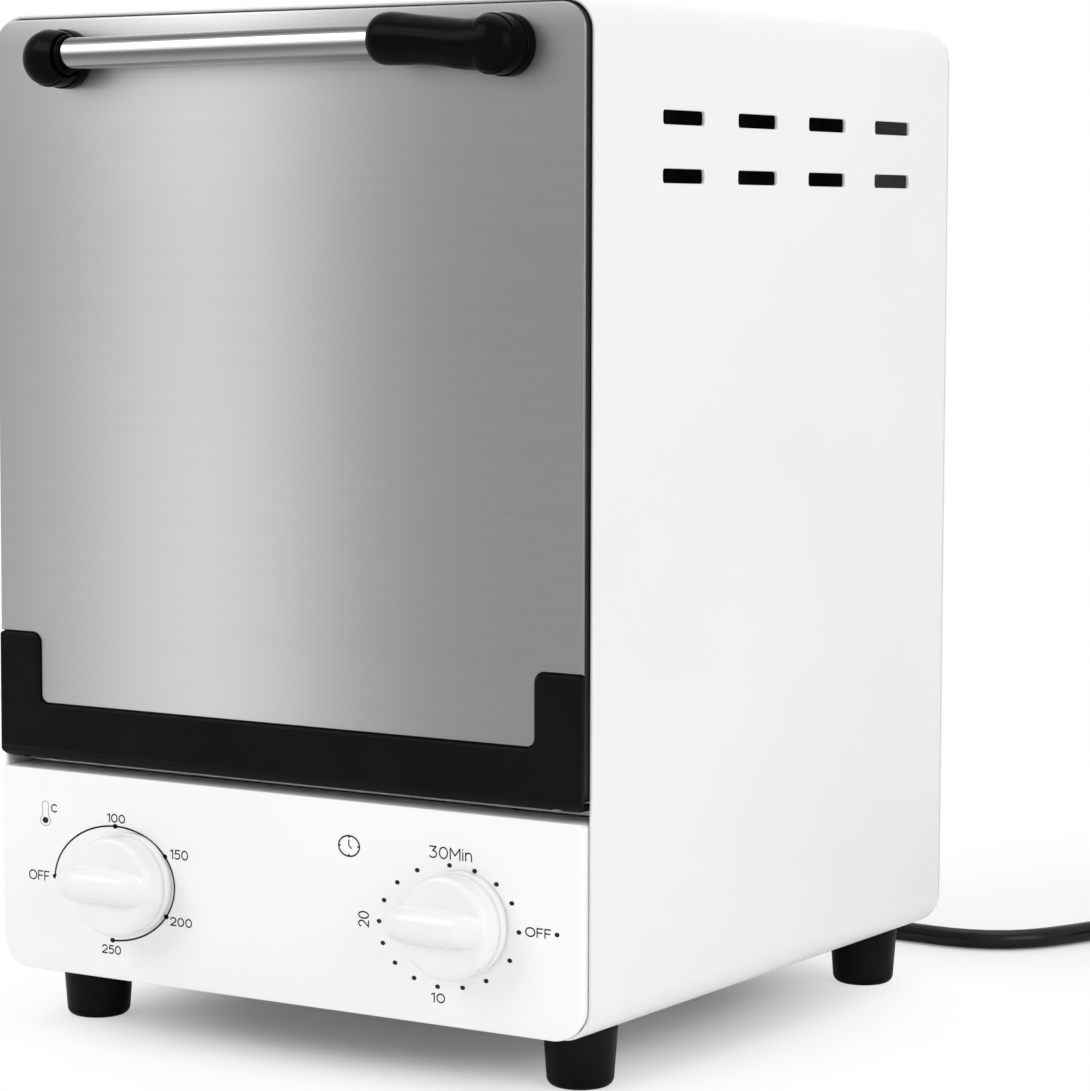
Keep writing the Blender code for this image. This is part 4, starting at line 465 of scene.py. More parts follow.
def painted_reflection_tone(x):
    """Painted reflection: a broad light band just left of the door's middle, on a sheet painted darker at its right. x
    is in metres.
    """
    side = LEFT_PAINTED_REFLECTION if x < LIGHT_BAND_X else RIGHT_PAINTED_REFLECTION
    return side + (BAND_PAINTED_REFLECTION - side) * exp(-((x - LIGHT_BAND_X) / LIGHT_BAND_WIDTH) ** 2)


DOOR_PAINTED_REFLECTION = [(x, painted_reflection_tone(x)) for x in (-0.12 + 0.02 * k for k in range(13))]
DOOR_STEEL = brushed("door_brushed_steel", (0.97, 1.03), grey(0.42), 0.36, along=5, across=2600, depth=0.006,
                     painted_reflection=DOOR_PAINTED_REFLECTION)
INNER_STEEL = brushed("inner_bright_steel", grey(0.60), grey(0.70), 0.27, along=14, across=900)
ZINC = new_finish("zinc_plate", (0.55, 0.56, 0.58), 0.4, 1.0)
tint(ZINC, add_noise(ZINC, 160, detail=4), (0.47, 0.48, 0.50), (0.60, 0.61, 0.63))
vary_roughness(ZINC, add_noise(ZINC, 240), 0.33, 0.48)
print("steels:", DOOR_STEEL.name, INNER_STEEL.name, ZINC.name)

# %% [markdown]
# ** Chrome.** A polished bar is a mirror that squeezes the whole studio into streaks along its length. Most of the
# streaks come from the lamps and the floor. The rest are painted reflections in the base colour: one bright band with
# a dark line on either side. They follow the angle round the bar's axis, which a few maths nodes work out from the
# object's coordinates.

# %% Chrome with lengthwise streaks
bar_box_low, bar_box_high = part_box("handle_bar")
BAR_LIFT_END, BAR_LIFT_MIDDLE = 0.7, 1.7
STREAK_AXIS_RISE, STREAK_RUN = 0.0013, 110


def painted_chrome_reflections(material, stops):
    """Paints reflection streaks into the base colour. stops are (degrees above the front, brightness) pairs from -180
    to 180.
    """
    tree = material.node_tree
    middle = (bar_box_low + bar_box_high) / 2
    slope = (BAR_LIFT_MIDDLE - BAR_LIFT_END) / STREAK_RUN
    height = maths(tree, "SUBTRACT", axis_of(material, "Z"), middle.z + STREAK_AXIS_RISE)
    height = maths(tree, "SUBTRACT", height, maths(tree, "MULTIPLY", axis_of(material, "X"), slope))
    ahead = maths(tree, "SUBTRACT", middle.y, axis_of(material, "Y"))
    # Painted reflection: the ramp paints bright and dark streaks into the base colour by the angle round the bar.
    angle = maths(tree, "ARCTAN2", height, ahead)
    colour = ramp_along(material, angle, -pi, pi, [(radians(a), brightness) for a, brightness in stops])
    shade(material, colour, add_noise(material, 60, (0.1, 1, 1)), 0.96, 1.04)


CHROME = new_finish("handle_chrome", (0.84, 0.84, 0.85), 0.09, 1.0)
painted_chrome_reflections(CHROME, ((-180, 0.3), (-60, 0.25), (-40, 0.38), (-14, 0.08), (-4, 0.2), (4, 0.95), (25, 0.95), (35, 0.2),
                        (50, 0.05), (90, 0.5), (180, 0.3)))
vary_roughness(CHROME, add_noise(CHROME, 120, (0.2, 1, 1)), 0.06, 0.13)
print("chrome streaks follow", CHROME.name)

# %% [markdown]
# **Black mouldings, knobs and rubber.** The trim and the handle ends are a deep black phenolic with a satin shell and
# the finest grain. A low specular level keeps them black under white light. The knobs are glossy white. Feet and seal
# are rubber, which scatters light far more.

# %% Plastics and rubbers


def moulded(name, dark, light, roughness, grain=1400, depth=0.02, **sockets):
    material = new_finish(name, light, roughness, **sockets)
    tint(material, add_noise(material, 45, detail=3), dark, light)
    vary_roughness(material, add_noise(material, 220), roughness - 0.04, roughness + 0.06)
    relief(material, add_noise(material, grain, detail=2), 0.3, depth)
    return material


TRIM_BLACK = moulded("trim_black", grey(0.0035), grey(0.0055), 0.36, depth=0.008,
                     Specular_IOR_Level=0.045)
HANDLE_BLACK = moulded("handle_black", grey(0.0008), grey(0.0016), 0.2, depth=0.003,
                       Specular_IOR_Level=0.04)
KNOB_WHITE = new_finish("knob_white", grey(0.9), 0.24)
tint(KNOB_WHITE, add_noise(KNOB_WHITE, 45, detail=3), grey(0.89), grey(0.91))
vary_roughness(KNOB_WHITE, add_noise(KNOB_WHITE, 220), 0.23, 0.25)
relief(KNOB_WHITE, add_noise(KNOB_WHITE, 1400, detail=2), 0.1, 0.001)
CORD_BLACK = moulded("cord_black", grey(0.004), grey(0.008), 0.2, depth=0.003,
                     Specular_IOR_Level=0.2)
FOOT_RUBBER = moulded("foot_rubber", grey(0.004), grey(0.009), 0.38, depth=0.008,
                      Specular_IOR_Level=0.06)
SEAL_RUBBER = moulded("seal_rubber", (0.27, 0.035, 0.02), (0.36, 0.05, 0.03), 0.6, depth=0.04)
SHELL_BLACK = moulded("door_shell_black", (0.014, 0.014, 0.015), (0.022, 0.022, 0.023), 0.42, Specular_IOR_Level=0.2)
CONTROL_PLASTIC = moulded("control_dark_plastic", (0.035, 0.035, 0.037), (0.06, 0.06, 0.062), 0.5)
CERAMIC = moulded("cream_ceramic", (0.80, 0.76, 0.68), (0.88, 0.85, 0.78), 0.42, depth=0.03)
print("mouldings: 9 finishes")

# %% [markdown]
# ** Inside the case.** Heaters darken unevenly with use and copper tarnishes. The glass wool round the chamber is
# painted near-black as painted shade for the dark inside the vents. Each gets its own noise at the scale of the real
# thing.
# faced with black glass tissue, so that the vents look dark. Each gets its own noise at the scale of the real thing.

# %% Heater, copper and insulation finishes
HEATER_METAL = new_finish("heater_sheath", (0.25, 0.24, 0.23), 0.45, 1.0)
tint(HEATER_METAL, add_noise(HEATER_METAL, 55, detail=4), (0.13, 0.12, 0.115), (0.33, 0.30, 0.28))
vary_roughness(HEATER_METAL, add_noise(HEATER_METAL, 300), 0.38, 0.6)
COPPER = new_finish("copper_tube", (0.72, 0.38, 0.24), 0.35, 1.0)
tint(COPPER, add_noise(COPPER, 130, detail=3), (0.52, 0.27, 0.17), (0.78, 0.43, 0.28))
vary_roughness(COPPER, add_noise(COPPER, 400), 0.27, 0.45)
# Painted shade: the insulation is near-black so that the vents look as dark as the shade inside the case makes them.
VENT_SHADE_FIBRE = new_finish("black_glass_tissue", grey(0.015), 0.9, Specular_IOR_Level=0.2)
tint(VENT_SHADE_FIBRE, add_noise(VENT_SHADE_FIBRE, 320, (1, 0.3, 1), detail=6, roughness=0.7), grey(0.009), (0.024, 0.023, 0.022))
relief(VENT_SHADE_FIBRE, add_noise(VENT_SHADE_FIBRE, 700, (1, 0.3, 1), detail=5), 0.8, 0.4)
INK = new_finish("dial_ink", grey(0.012), 0.5, Specular_IOR_Level=0.2)
tint(INK, add_noise(INK, 900, detail=2), grey(0.008), grey(0.016))
PALE_INK = new_finish("pale_dial_ink", grey(0.5), 0.5)
tint(PALE_INK, add_noise(PALE_INK, 500, detail=2), grey(0.45), grey(0.60))
print("inside finishes ready")

# %% [markdown]
# ## The mains cord
# A cord is one long flexible thing, so it is one curve: straight out of the back, down under its own weight, along
# the bench and into a neat double-layer coil just past the picture's right edge. The points are read off a smooth
# curve at an even spacing.

# %% The cord's route
CORD_RADIUS = 3.4
CORD_EXIT_X, CORD_EXIT_Z = 14, 24
CASE_BACK = CASE_END + 1.3
COIL_X, COIL_Y, COIL_INNER, COIL_PITCH, COIL_RISE, COIL_TURNS = 188, 365, 30.5, 7.5, 7.3, 2.25
COIL_TAIL = 30
SLEEVE_SEAT, SLEEVE_FLANGE, SLEEVE_LENGTH = 0.3, 2, 28
ROUTE = ((18.5, 46, 31), (28, 53.5, 18), (43, 54.5, 7), (58, 51.5, 3.5), (74.6, 49.5, 3.5), (92.7, 49.1, 3.5),
         (107.3, 54.5, 3.5), (117.6, 66.6, 3.5), (126.3, 86.5, 3.5), (134, 105, 3.5))


def smooth_path(points, spacing):
    ends = [2 * points[0] - points[1], *points, 2 * points[-1] - points[-2]]
    fine = []
    for a, b, c, d in zip(ends, ends[1:], ends[2:], ends[3:]):
        for k in range(24):
            t = k / 24
            fine.append(0.5 * (2 * b + (c - a) * t + (2 * a - 5 * b + 4 * c - d) * t ** 2
                               + (3 * b - a - 3 * c + d) * t ** 3))
    fine.append(points[-1])
    along = np.cumsum([0] + [(q - p).length for p, q in zip(fine, fine[1:])])
    wanted = np.linspace(0, along[-1], max(2, round(along[-1] / spacing)) + 1)
    return [Vector([np.interp(w, along, [p[axis] for p in fine]) for axis in range(3)]) for w in wanted]


def coil_route(loop_points=48):
    low = FLOOR + CORD_RADIUS + 0.1
    half, climb = COIL_TURNS * loop_points, loop_points / 2
    points = []
    for k in range(int(2 * half + climb) + 1):
        share = min(1, max(0, (k - half) / climb))
        turns_in, turns_out = max(0, half - k), max(0, k - half - climb)
        radius = COIL_INNER + COIL_PITCH * ((turns_in + turns_out) / loop_points - share * (1 - share) / 2)
        angle = pi - 2 * pi * k / loop_points
        points.append(Vector((COIL_X + radius * cos(angle), COIL_Y + radius * sin(angle),
                              low + COIL_RISE * (1 - cos(pi * share)) / 2)))
    heading = (points[-1] - points[-2]).normalized()
    return points, heading


coil, coil_heading = coil_route()
gland_end = CASE_BACK + SLEEVE_SEAT + SLEEVE_FLANGE + SLEEVE_LENGTH
start = [Vector((CORD_EXIT_X, gland_end, CORD_EXIT_Z)), Vector((CORD_EXIT_X, gland_end + 7, CORD_EXIT_Z))]
middle = [Vector((x, CASE_BACK + y, FLOOR + z)) for x, y, z in ROUTE]
entry = coil[0] - Vector((0, 13.6, 0))
cord_line = [start[0], *smooth_path([start[1], *middle, entry], 7), coil[0] - Vector((0, 6.8, 0)), *coil]
cord_line += [coil[-1] + coil_heading * COIL_TAIL * share for share in (0.33, 0.66, 1)]

# %% [markdown]
# The tube itself comes from the curve's bevel. A POLY spline follows the points exactly, so the visible cord lies
# where the solid one does.

# %% The cord as a tube
curve = bpy.data.curves.new("mains_lead", "CURVE")
curve.dimensions = "3D"
curve.bevel_depth = CORD_RADIUS * MM
curve.bevel_resolution = 5
curve.use_fill_caps = True
line = curve.splines.new("POLY")
line.points.add(len(cord_line) - 1)
for target, point in zip(line.points, cord_line):
    target.co = (*spot(*point), 1)
line.use_smooth = True
curve.materials.append(CORD_BLACK)
lead = in_scene("mains_lead", curve)
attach(lead, "case")
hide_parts("mains_cord", "cord_coil")
print("mains lead:", len(line.points), "points in the tube")

# %% [markdown]
# Where the cord leaves the case, a ribbed rubber sleeve keeps it from being bent sharply. It is turned like a vase:
# the profile walks outwards through each rib, and the rings make the body.

# %% Strain relief
RIBS, THICK_END, THIN_END = 7, 6.4, 4.5


def ribbed_sleeve():
    inner, outer = CASE_BACK - 1.3, CASE_BACK + SLEEVE_SEAT
    shoulder = outer + SLEEVE_FLANGE
    profile = [(inner - 2, 4), (inner - 2, 8.2), (inner, 8.5), (inner, 6), (outer, 6), (outer, 8.1), (outer + 0.4, 8.5),
               (shoulder - 0.5, 8.5), (shoulder, 8.0), (shoulder + 0.1, 6.5)]
    for k in range(RIBS):
        middle_y = shoulder + 2.2 + k * (SLEEVE_LENGTH - 4.4) / (RIBS - 1)
        radius = THICK_END - (THICK_END - THIN_END) * (middle_y - shoulder) / SLEEVE_LENGTH
        profile += [(middle_y - 1.2, radius - 0.55), (middle_y - 0.8, radius - 0.1), (middle_y, radius),
                    (middle_y + 0.8, radius - 0.1), (middle_y + 1.2, radius - 0.55)]
    profile += [(shoulder + SLEEVE_LENGTH - 0.4, 4.2), (shoulder + SLEEVE_LENGTH, 3.9)]
    return turned("cord_sleeve", profile, at_y, (CORD_EXIT_X, CORD_EXIT_Z))


sleeve = adopt("cord_sleeve", ribbed_sleeve(), CORD_BLACK, "cord_gland")
print("sleeve faces:", len(sleeve.data.polygons))

# %% [markdown]
# The plug is a soft moulding that swells from the cord to a flat face with two pins. Its cross-sections are rounded
# squares that grow along its length, so it is a loft. The pins are brass-cored steel, separate and bright.

# %% The plug
PLUG_SECTIONS = ((0, 4.6, 4.6), (3, 5.0, 5.0), (9, 5.5, 5.4), (16, 6.5, 6.4), (20, 10.2, 8.1), (26, 11.9, 8.7),
                 (31, 12.75, 9.0), (38, 14.8, 9.7), (44, 16.6, 10.1), (48, 17, 10.2), (49.4, 16.8, 10.0), (50, 16, 9.4))


def plug_rings():
    across = Vector((-coil_heading.y, coil_heading.x, 0))
    base = coil[-1] + coil_heading * COIL_TAIL
    rings = []
    for along, wide, high in PLUG_SECTIONS:
        angles = [2 * pi * k / 56 for k in range(56)]
        rings.append([base + coil_heading * (along + 0.3) + across * wide * cos(a) * (abs(cos(a)) + abs(sin(a))) ** 0.35
                      * 0.998 + Vector((0, 0, high * sin(a))) for a in angles])
    return rings, base, across


rings, plug_base, plug_across = plug_rings()
plug = adopt_rings("mains_plug_body", rings, CORD_BLACK, "mains_plug")
PIN_OFFSET = 9.5
PIN_SHAPE = ((48.5, 2.38), (66.5, 2.38), (68, 2.0), (68.9, 1.2), (69.1, 0.4))


def plug_pin(side):
    centre = plug_base + plug_across * side * PIN_OFFSET
    return [[centre + coil_heading * along + plug_across * r * cos(a) + Vector((0, 0, r * sin(a)))
             for a in (2 * pi * k / 24 for k in range(24))] for along, r in PIN_SHAPE]


for side, word in ((-1, "left"), (1, "right")):
    adopt_rings(f"plug_pin_{word}", plug_pin(side), CHROME, "mains_plug", replaces=False)
print("plug from", [round(v, 1) for v in plug_base])

# %% [markdown]
# ## The case
# The wrap is one sheet bent over the top and down both sides, with a hem rolled round its front edge. We sweep the
# section of that hem along the rounded path. Rolled hems have a full round edge, which is what catches the light
# round the door.

# %% Case wrap
SHEET, HEM, CORNER = 1.0, 1.4, 10.0
FLANGE_END = CASE_HALF - 32


def wrap_path(depth):
    side, low, high, radius = CASE_HALF - depth, depth, CASE_HEIGHT - depth, CORNER - depth
    loop = rounded([(side, low, radius), (side, high, radius), (-side, high, radius), (-side, low, radius)], 16)
    return [Vector((FLANGE_END, low)), *loop, Vector((-FLANGE_END, low))]


hem_edge = [(HEM / 2 - u, HEM / 2 - v) for u, v in arc(0, 0, HEM / 2, HEM / 2, 180, 0, 8)]
rear_bend = [(1.4 - u, CASE_END - 1.4 + v) for u, v in arc(0, 0, 1.4, 1.4, 0, 90, 6)]
section = [*hem_edge, *rear_bend, (9, CASE_END), (9, CASE_END - SHEET), (SHEET, CASE_END - SHEET), (SHEET, 5.6),
           (HEM, 5)]
paths = [wrap_path(depth) for depth, y in section]
wrap_rings = [[(path[k].x, y, path[k].y) for path, (depth, y) in zip(paths, section)] for k in range(len(paths[0]))]
case_wrap = adopt_rings("case_wrap", wrap_rings, WHITE_COAT, "casing_wrap")
print("wrap faces:", len(case_wrap.data.polygons))

# %% [markdown]
# **Punched vents.** Two rows of four slots let warm air out of each side. They are cut with a Boolean whose cutters
# flare slightly at the skin, because paint pulls back from a punched edge and leaves it soft. Geometry Nodes lay the
# cutters out: one slot, copied along a grid whose pitch is an input.

# %% A grid of vents with Geometry Nodes
VENT = {"first_y": 49.7, "top_z": 266.7, "pitch_y": 44.4, "pitch_z": 17.05, "length": 24.2, "height": 4.25}


def slot_cutter():
    outline = box_outline(-VENT["length"] / 2, VENT["length"] / 2, -VENT["height"] / 2, VENT["height"] / 2, 1.1, 6)
    rings = []
    for side in (-1, 1):
        levels = ((CASE_HALF - 3, 0), (CASE_HALF - 0.3, 0), (CASE_HALF - 0.08, 0.1), (CASE_HALF + 0.1, 0.35),
                  (CASE_HALF + 2, 0.35))
        rings.append([at_x(inward(outline, -grow), side * x) for x, grow in levels])
    return rings


def copying_tree(name, inputs, lay_out):
    """Copies the incoming shape onto points. lay_out works out their count and place from the tree's own inputs."""
    tree = bpy.data.node_groups.new(name, "GeometryNodeTree")
    for label, kind in (("Shape", "Geometry"), *inputs, ("Finish", "Material")):
        tree.interface.new_socket(label, in_out="INPUT", socket_type=f"NodeSocket{kind}")
    tree.interface.new_socket("Shape", in_out="OUTPUT", socket_type="NodeSocketGeometry")
    given = tree.nodes.new("NodeGroupInput").outputs
    index = tree.nodes.new("GeometryNodeInputIndex").outputs[0]
    count, (x, y, z) = lay_out(partial(maths, tree), given, index)
    place = add_node(tree, "ShaderNodeCombineXYZ", {"X": x, "Y": y, "Z": z})
    points = add_node(tree, "GeometryNodePoints", {"Count": count, "Position": place.outputs[0]})
    copies = add_node(tree, "GeometryNodeInstanceOnPoints", {"Points": points.outputs[0], "Instance": given["Shape"]})
    real = add_node(tree, "GeometryNodeRealizeInstances", {0: copies.outputs[0]})
    paint = add_node(tree, "GeometryNodeSetMaterial", {"Geometry": real.outputs[0], "Material": given["Finish"]})
    feed(tree, tree.nodes.new("NodeGroupOutput").inputs[0], paint.outputs[0])
    return tree


def grid_places(sums, given, index):
    """Columns step by Pitch Y and rows by Pitch Z."""
    column = sums("MODULO", index, given["Columns"])
    row = sums("FLOOR", sums("DIVIDE", index, given["Columns"]))
    return (sums("MULTIPLY", given["Columns"], given["Rows"]),
            (0, sums("MULTIPLY", column, given["Pitch Y"]), sums("MULTIPLY", row, given["Pitch Z"])))


def baked(thing):
    """The plain mesh that an object's modifiers make of it."""
    return bpy.data.meshes.new_from_object(thing.evaluated_get(bpy.context.evaluated_depsgraph_get()))


def through_nodes(name, mesh, tree, **inputs):
    """Runs a mesh through a node tree and returns the plain mesh that comes out."""
    holder = in_scene(name, mesh)
    modifier = holder.modifiers.new(name, "NODES")
    modifier.node_group = tree
    for item in tree.interface.items_tree:
        key = item.name.replace(" ", "_")
        if item.in_out == "INPUT" and key in inputs:
            modifier[item.identifier] = inputs[key]
    result = baked(holder)
    bpy.data.objects.remove(holder)
    result.name = name
    return result


vent_tree = copying_tree("vent_grid", (("Columns", "Int"), ("Rows", "Int"), ("Pitch Y", "Float"), ("Pitch Z", "Float")),
                         grid_places)
print("grid tree has", len(vent_tree.nodes), "nodes")

# %% [markdown]
# A Boolean is quick and exact for slots in a flat sheet. The cutters start on the first slot and the tree steps them
# towards the back and down.

# %% Cut the vents


def combine(piece, other_mesh, operation="DIFFERENCE"):
    """Cuts a mesh out of a piece, or joins one to it, and bakes the result."""
    other = in_scene("other", other_mesh)
    modifier = piece.modifiers.new("combine", "BOOLEAN")
    modifier.operation = operation
    modifier.object = other
    result = baked(piece)
    piece.modifiers.clear()
    piece.data = result
    bpy.data.objects.remove(other)


for rings in slot_cutter():
    first = [[(x, y + VENT["first_y"], z + VENT["top_z"]) for x, y, z in ring] for ring in rings]
    cutters = through_nodes("vent_cutters", ring_body("vent_cutter", first), vent_tree, Columns=4, Rows=2,
                            Pitch_Y=VENT["pitch_y"] * MM, Pitch_Z=-VENT["pitch_z"] * MM)
    combine(case_wrap, cutters)
print("wrap faces after the vents:", len(case_wrap.data.polygons))

# %% [markdown]
# ## The control panel
# A shallow pressed dish of enamelled sheet sits under the door. Its front edge has a soft press radius, so its rings
# go round a quarter circle first. The front is a lip that reaches down to the case's bottom edge. Behind it the dish
# steps in and runs back into the case.

# %% Control panel
panel_low, panel_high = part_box("control_panel")
PANEL_FRONT = round((panel_low - ORIGIN).y / MM, 3)
PANEL_HALF = round(panel_high.x / MM, 3)
PANEL_BOTTOM, PANEL_TOP = round((panel_low - ORIGIN).z / MM, 3), round((panel_high - ORIGIN).z / MM, 3)
KNOB_X = {"temperature": -56.0, "timer": 67.5}
KNOB_Z = 31.6
LIP_BOTTOM, LIP_BACK = 0.15, -0.25
PANEL_DEPTH, PANEL_SHEET, SHAFT_BORE = 14, 1.2, 3.3


def panel_shape(bottom, corner):
    return mirrored([(PANEL_HALF, bottom, corner), (PANEL_HALF, PANEL_TOP, 1.8)], 12)


lip_outline = panel_shape(LIP_BOTTOM, 10)
panel_outline = panel_shape(PANEL_BOTTOM, 8)
panel_inside = inward(panel_outline, PANEL_SHEET)
panel_rings = rounded_edge(lip_outline, PANEL_FRONT, 0.55) + [
    at_y(lip_outline, LIP_BACK), at_y(panel_outline, LIP_BACK),
    at_y(panel_outline, PANEL_FRONT + PANEL_DEPTH), at_y(panel_inside, PANEL_FRONT + PANEL_DEPTH),
    at_y(panel_inside, PANEL_FRONT + PANEL_SHEET)]
bores = [tuple(at_y(circle(x, KNOB_Z, SHAFT_BORE), PANEL_FRONT + deep) for deep in (0, PANEL_SHEET))
         for x in KNOB_X.values()]
adopt_rings("front_control_panel", panel_rings, WHITE_ENAMEL, "control_panel", bores)
print(f"panel face at y {PANEL_FRONT}, z {PANEL_BOTTOM} to {PANEL_TOP}")

# %% [markdown]
# ## The door
# The skin is a brushed sheet, cut away at the bottom for the moulded trim. Its outline is the same as the solid's, with
# more points in every bend and a fine rounded edge.

# %% Door skin
skin_low, skin_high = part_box("door_skin")
DOOR_FRONT = round((skin_low - ORIGIN).y / MM, 3)
DOOR_TOP, DOOR_HALF = round((skin_high - ORIGIN).z / MM, 3), round(skin_high.x / MM, 3)
trim_low, trim_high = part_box("door_trim")
TRIM_LOW, TRIM_TOP = round((trim_low - ORIGIN).z / MM, 3), round((trim_high - ORIGIN).z / MM, 3)
TRIM_BAR, TRIM_TOWER = 17.8, 16
BAR_TOP, TOWER_INNER = TRIM_LOW + TRIM_BAR, DOOR_HALF - TRIM_TOWER
SKIN_GAP = 0.3
skin_outline = mirrored([
    (TOWER_INNER - SKIN_GAP, BAR_TOP + SKIN_GAP, 2.7), (TOWER_INNER - SKIN_GAP, TRIM_TOP + SKIN_GAP, 3.3),
    (DOOR_HALF, TRIM_TOP + SKIN_GAP, 0), (DOOR_HALF, DOOR_TOP, 8.2)], 12)
skin_rings = rounded_edge(skin_outline, DOOR_FRONT, 0.45, steps=4) + [at_y(skin_outline, DOOR_FRONT + 1)]
adopt_rings("door_face", skin_rings, DOOR_STEEL, "door_skin")
print(f"door face at y {DOOR_FRONT}, top {DOOR_TOP}")

# %% [markdown]
# The trim is a black moulding: a bar with a short tower at each end, rounded edges, and a lip that turns under the
# door. It is a thick plate with its core and its lower front corner cut away, like the solid, but with finer rounding.

# %% Door trim
TRIM_FRONT = round((trim_low - ORIGIN).y / MM, 3)
TRIM_DEPTH = round((trim_high - trim_low).y / MM, 3)
trim_outline = mirrored([(DOOR_HALF, TRIM_LOW, 3), (DOOR_HALF, TRIM_TOP, 1), (TOWER_INNER, TRIM_TOP, 3),
                         (TOWER_INNER, BAR_TOP, 3)], 10)
trim_rings = rounded_edge(trim_outline, TRIM_FRONT, 0.9) + [at_y(trim_outline, TRIM_FRONT + TRIM_DEPTH)]
trim = adopt_rings("door_trim_moulding", trim_rings, TRIM_BLACK, "door_trim")
wide = DOOR_HALF + 3
core = [(TRIM_FRONT + 2, TRIM_LOW + 2.4), (12, TRIM_LOW + 2.4), (12, TRIM_TOP + 3), (TRIM_FRONT + 2, TRIM_TOP + 3)]
combine(trim, prism(core, at_x, -wide, wide))
curve_points = [(TRIM_FRONT + 4.5 - 4.5 * cos(a), TRIM_LOW + 4.5 - 4.5 * sin(a)) for a in quarter(10)]
outside = [(TRIM_FRONT + 4.5, TRIM_LOW - 3), (TRIM_FRONT - 3, TRIM_LOW - 3), (TRIM_FRONT - 3, TRIM_LOW + 4.5)]
corner = curve_points + outside
combine(trim, prism(corner, at_x, -wide, wide))
EAR_INNER, EAR_OUTER = 95.9, 100.1
notch = [(-1.9, TRIM_LOW - 3), (12, TRIM_LOW - 3), (12, TRIM_LOW + 9), (-1.9, TRIM_LOW + 9)]
for side in (-1, 1):
    ears = sorted((side * EAR_INNER, side * EAR_OUTER))
    combine(trim, prism(notch, at_x, *ears))
trim.data.shade_smooth()
trim.data.set_sharp_from_angle(angle=radians(35))
print("trim faces:", len(trim.data.polygons))

# %% [markdown]
# ## The handle
# Two black posts carry a chromed bar, and a black sleeve covers the bar's right end as a grip. Posts and bar are
# turned. The posts get a collar where the bar goes in, joined with a Boolean.

# %% Handle bar
bar_low, bar_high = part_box("handle_bar")
BAR_LEFT, BAR_RIGHT = round(bar_low.x / MM, 3), round(bar_high.x / MM, 3)
BAR_RADIUS = round((bar_high - bar_low).z / MM / 2, 3)
BAR_Y = round(((bar_low + bar_high) / 2 - ORIGIN).y / MM, 3)
BAR_Z = round(((bar_low + bar_high) / 2 - ORIGIN).z / MM, 3)


def bar_lift(x):
    """How far the bar rides over the line through its posts: a gentle rise to the right, gone inside the grip."""
    rise = BAR_LIFT_END + (BAR_LIFT_MIDDLE - BAR_LIFT_END) * (1 - cos(pi * min(1, (x - BAR_LEFT) / 120))) / 2
    return rise * min(1, max(0, (BAR_RIGHT - x) / 25))


bar_places = [(BAR_LEFT, 0.5), (BAR_LEFT + 0.5, 0), *[(x, 0) for x in np.linspace(-71, 76, 50)],
              (BAR_RIGHT - 0.5, 0), (BAR_RIGHT, 0.5)]
adopt_rings("chrome_bar", [at_x(circle(BAR_Y, BAR_Z + bar_lift(x), BAR_RADIUS - less, 96), x)
                           for x, less in bar_places], CHROME, "handle_bar")
print(f"bar {BAR_LEFT} to {BAR_RIGHT}, axis y {BAR_Y}, z {BAR_Z}, radius {BAR_RADIUS}")

# %% [markdown]
# A post is turned too: a flange at the door, a band, a fine step and a domed cap. A collar flares out of the dome on
# the bar's side, which is a loft of ellipses, and a bush inside the left one holds the bar's end.

# %% Handle posts
POST_RADIUS, CAP_Y, CAP_DOME = 9.1, -13.2, 5.7
COLLAR_RADIUS = 7.28
# Distance from the post's axis towards the bar, then half the depth and half the height of the collar there.
COLLAR_SECTIONS = ((-5.5, 1.5, 2.0), (-5.0, 3.6, 4.4), (-4.0, 5.2, 6.0), (-2.5, 6.5, 7.3), (-1.0, 7.15, 8.0),
                   (0.0, 7.3, 8.2), (2.0, 7.33, 8.05), (4.0, 7.32, 7.7), (6.0, 7.3, 7.42))


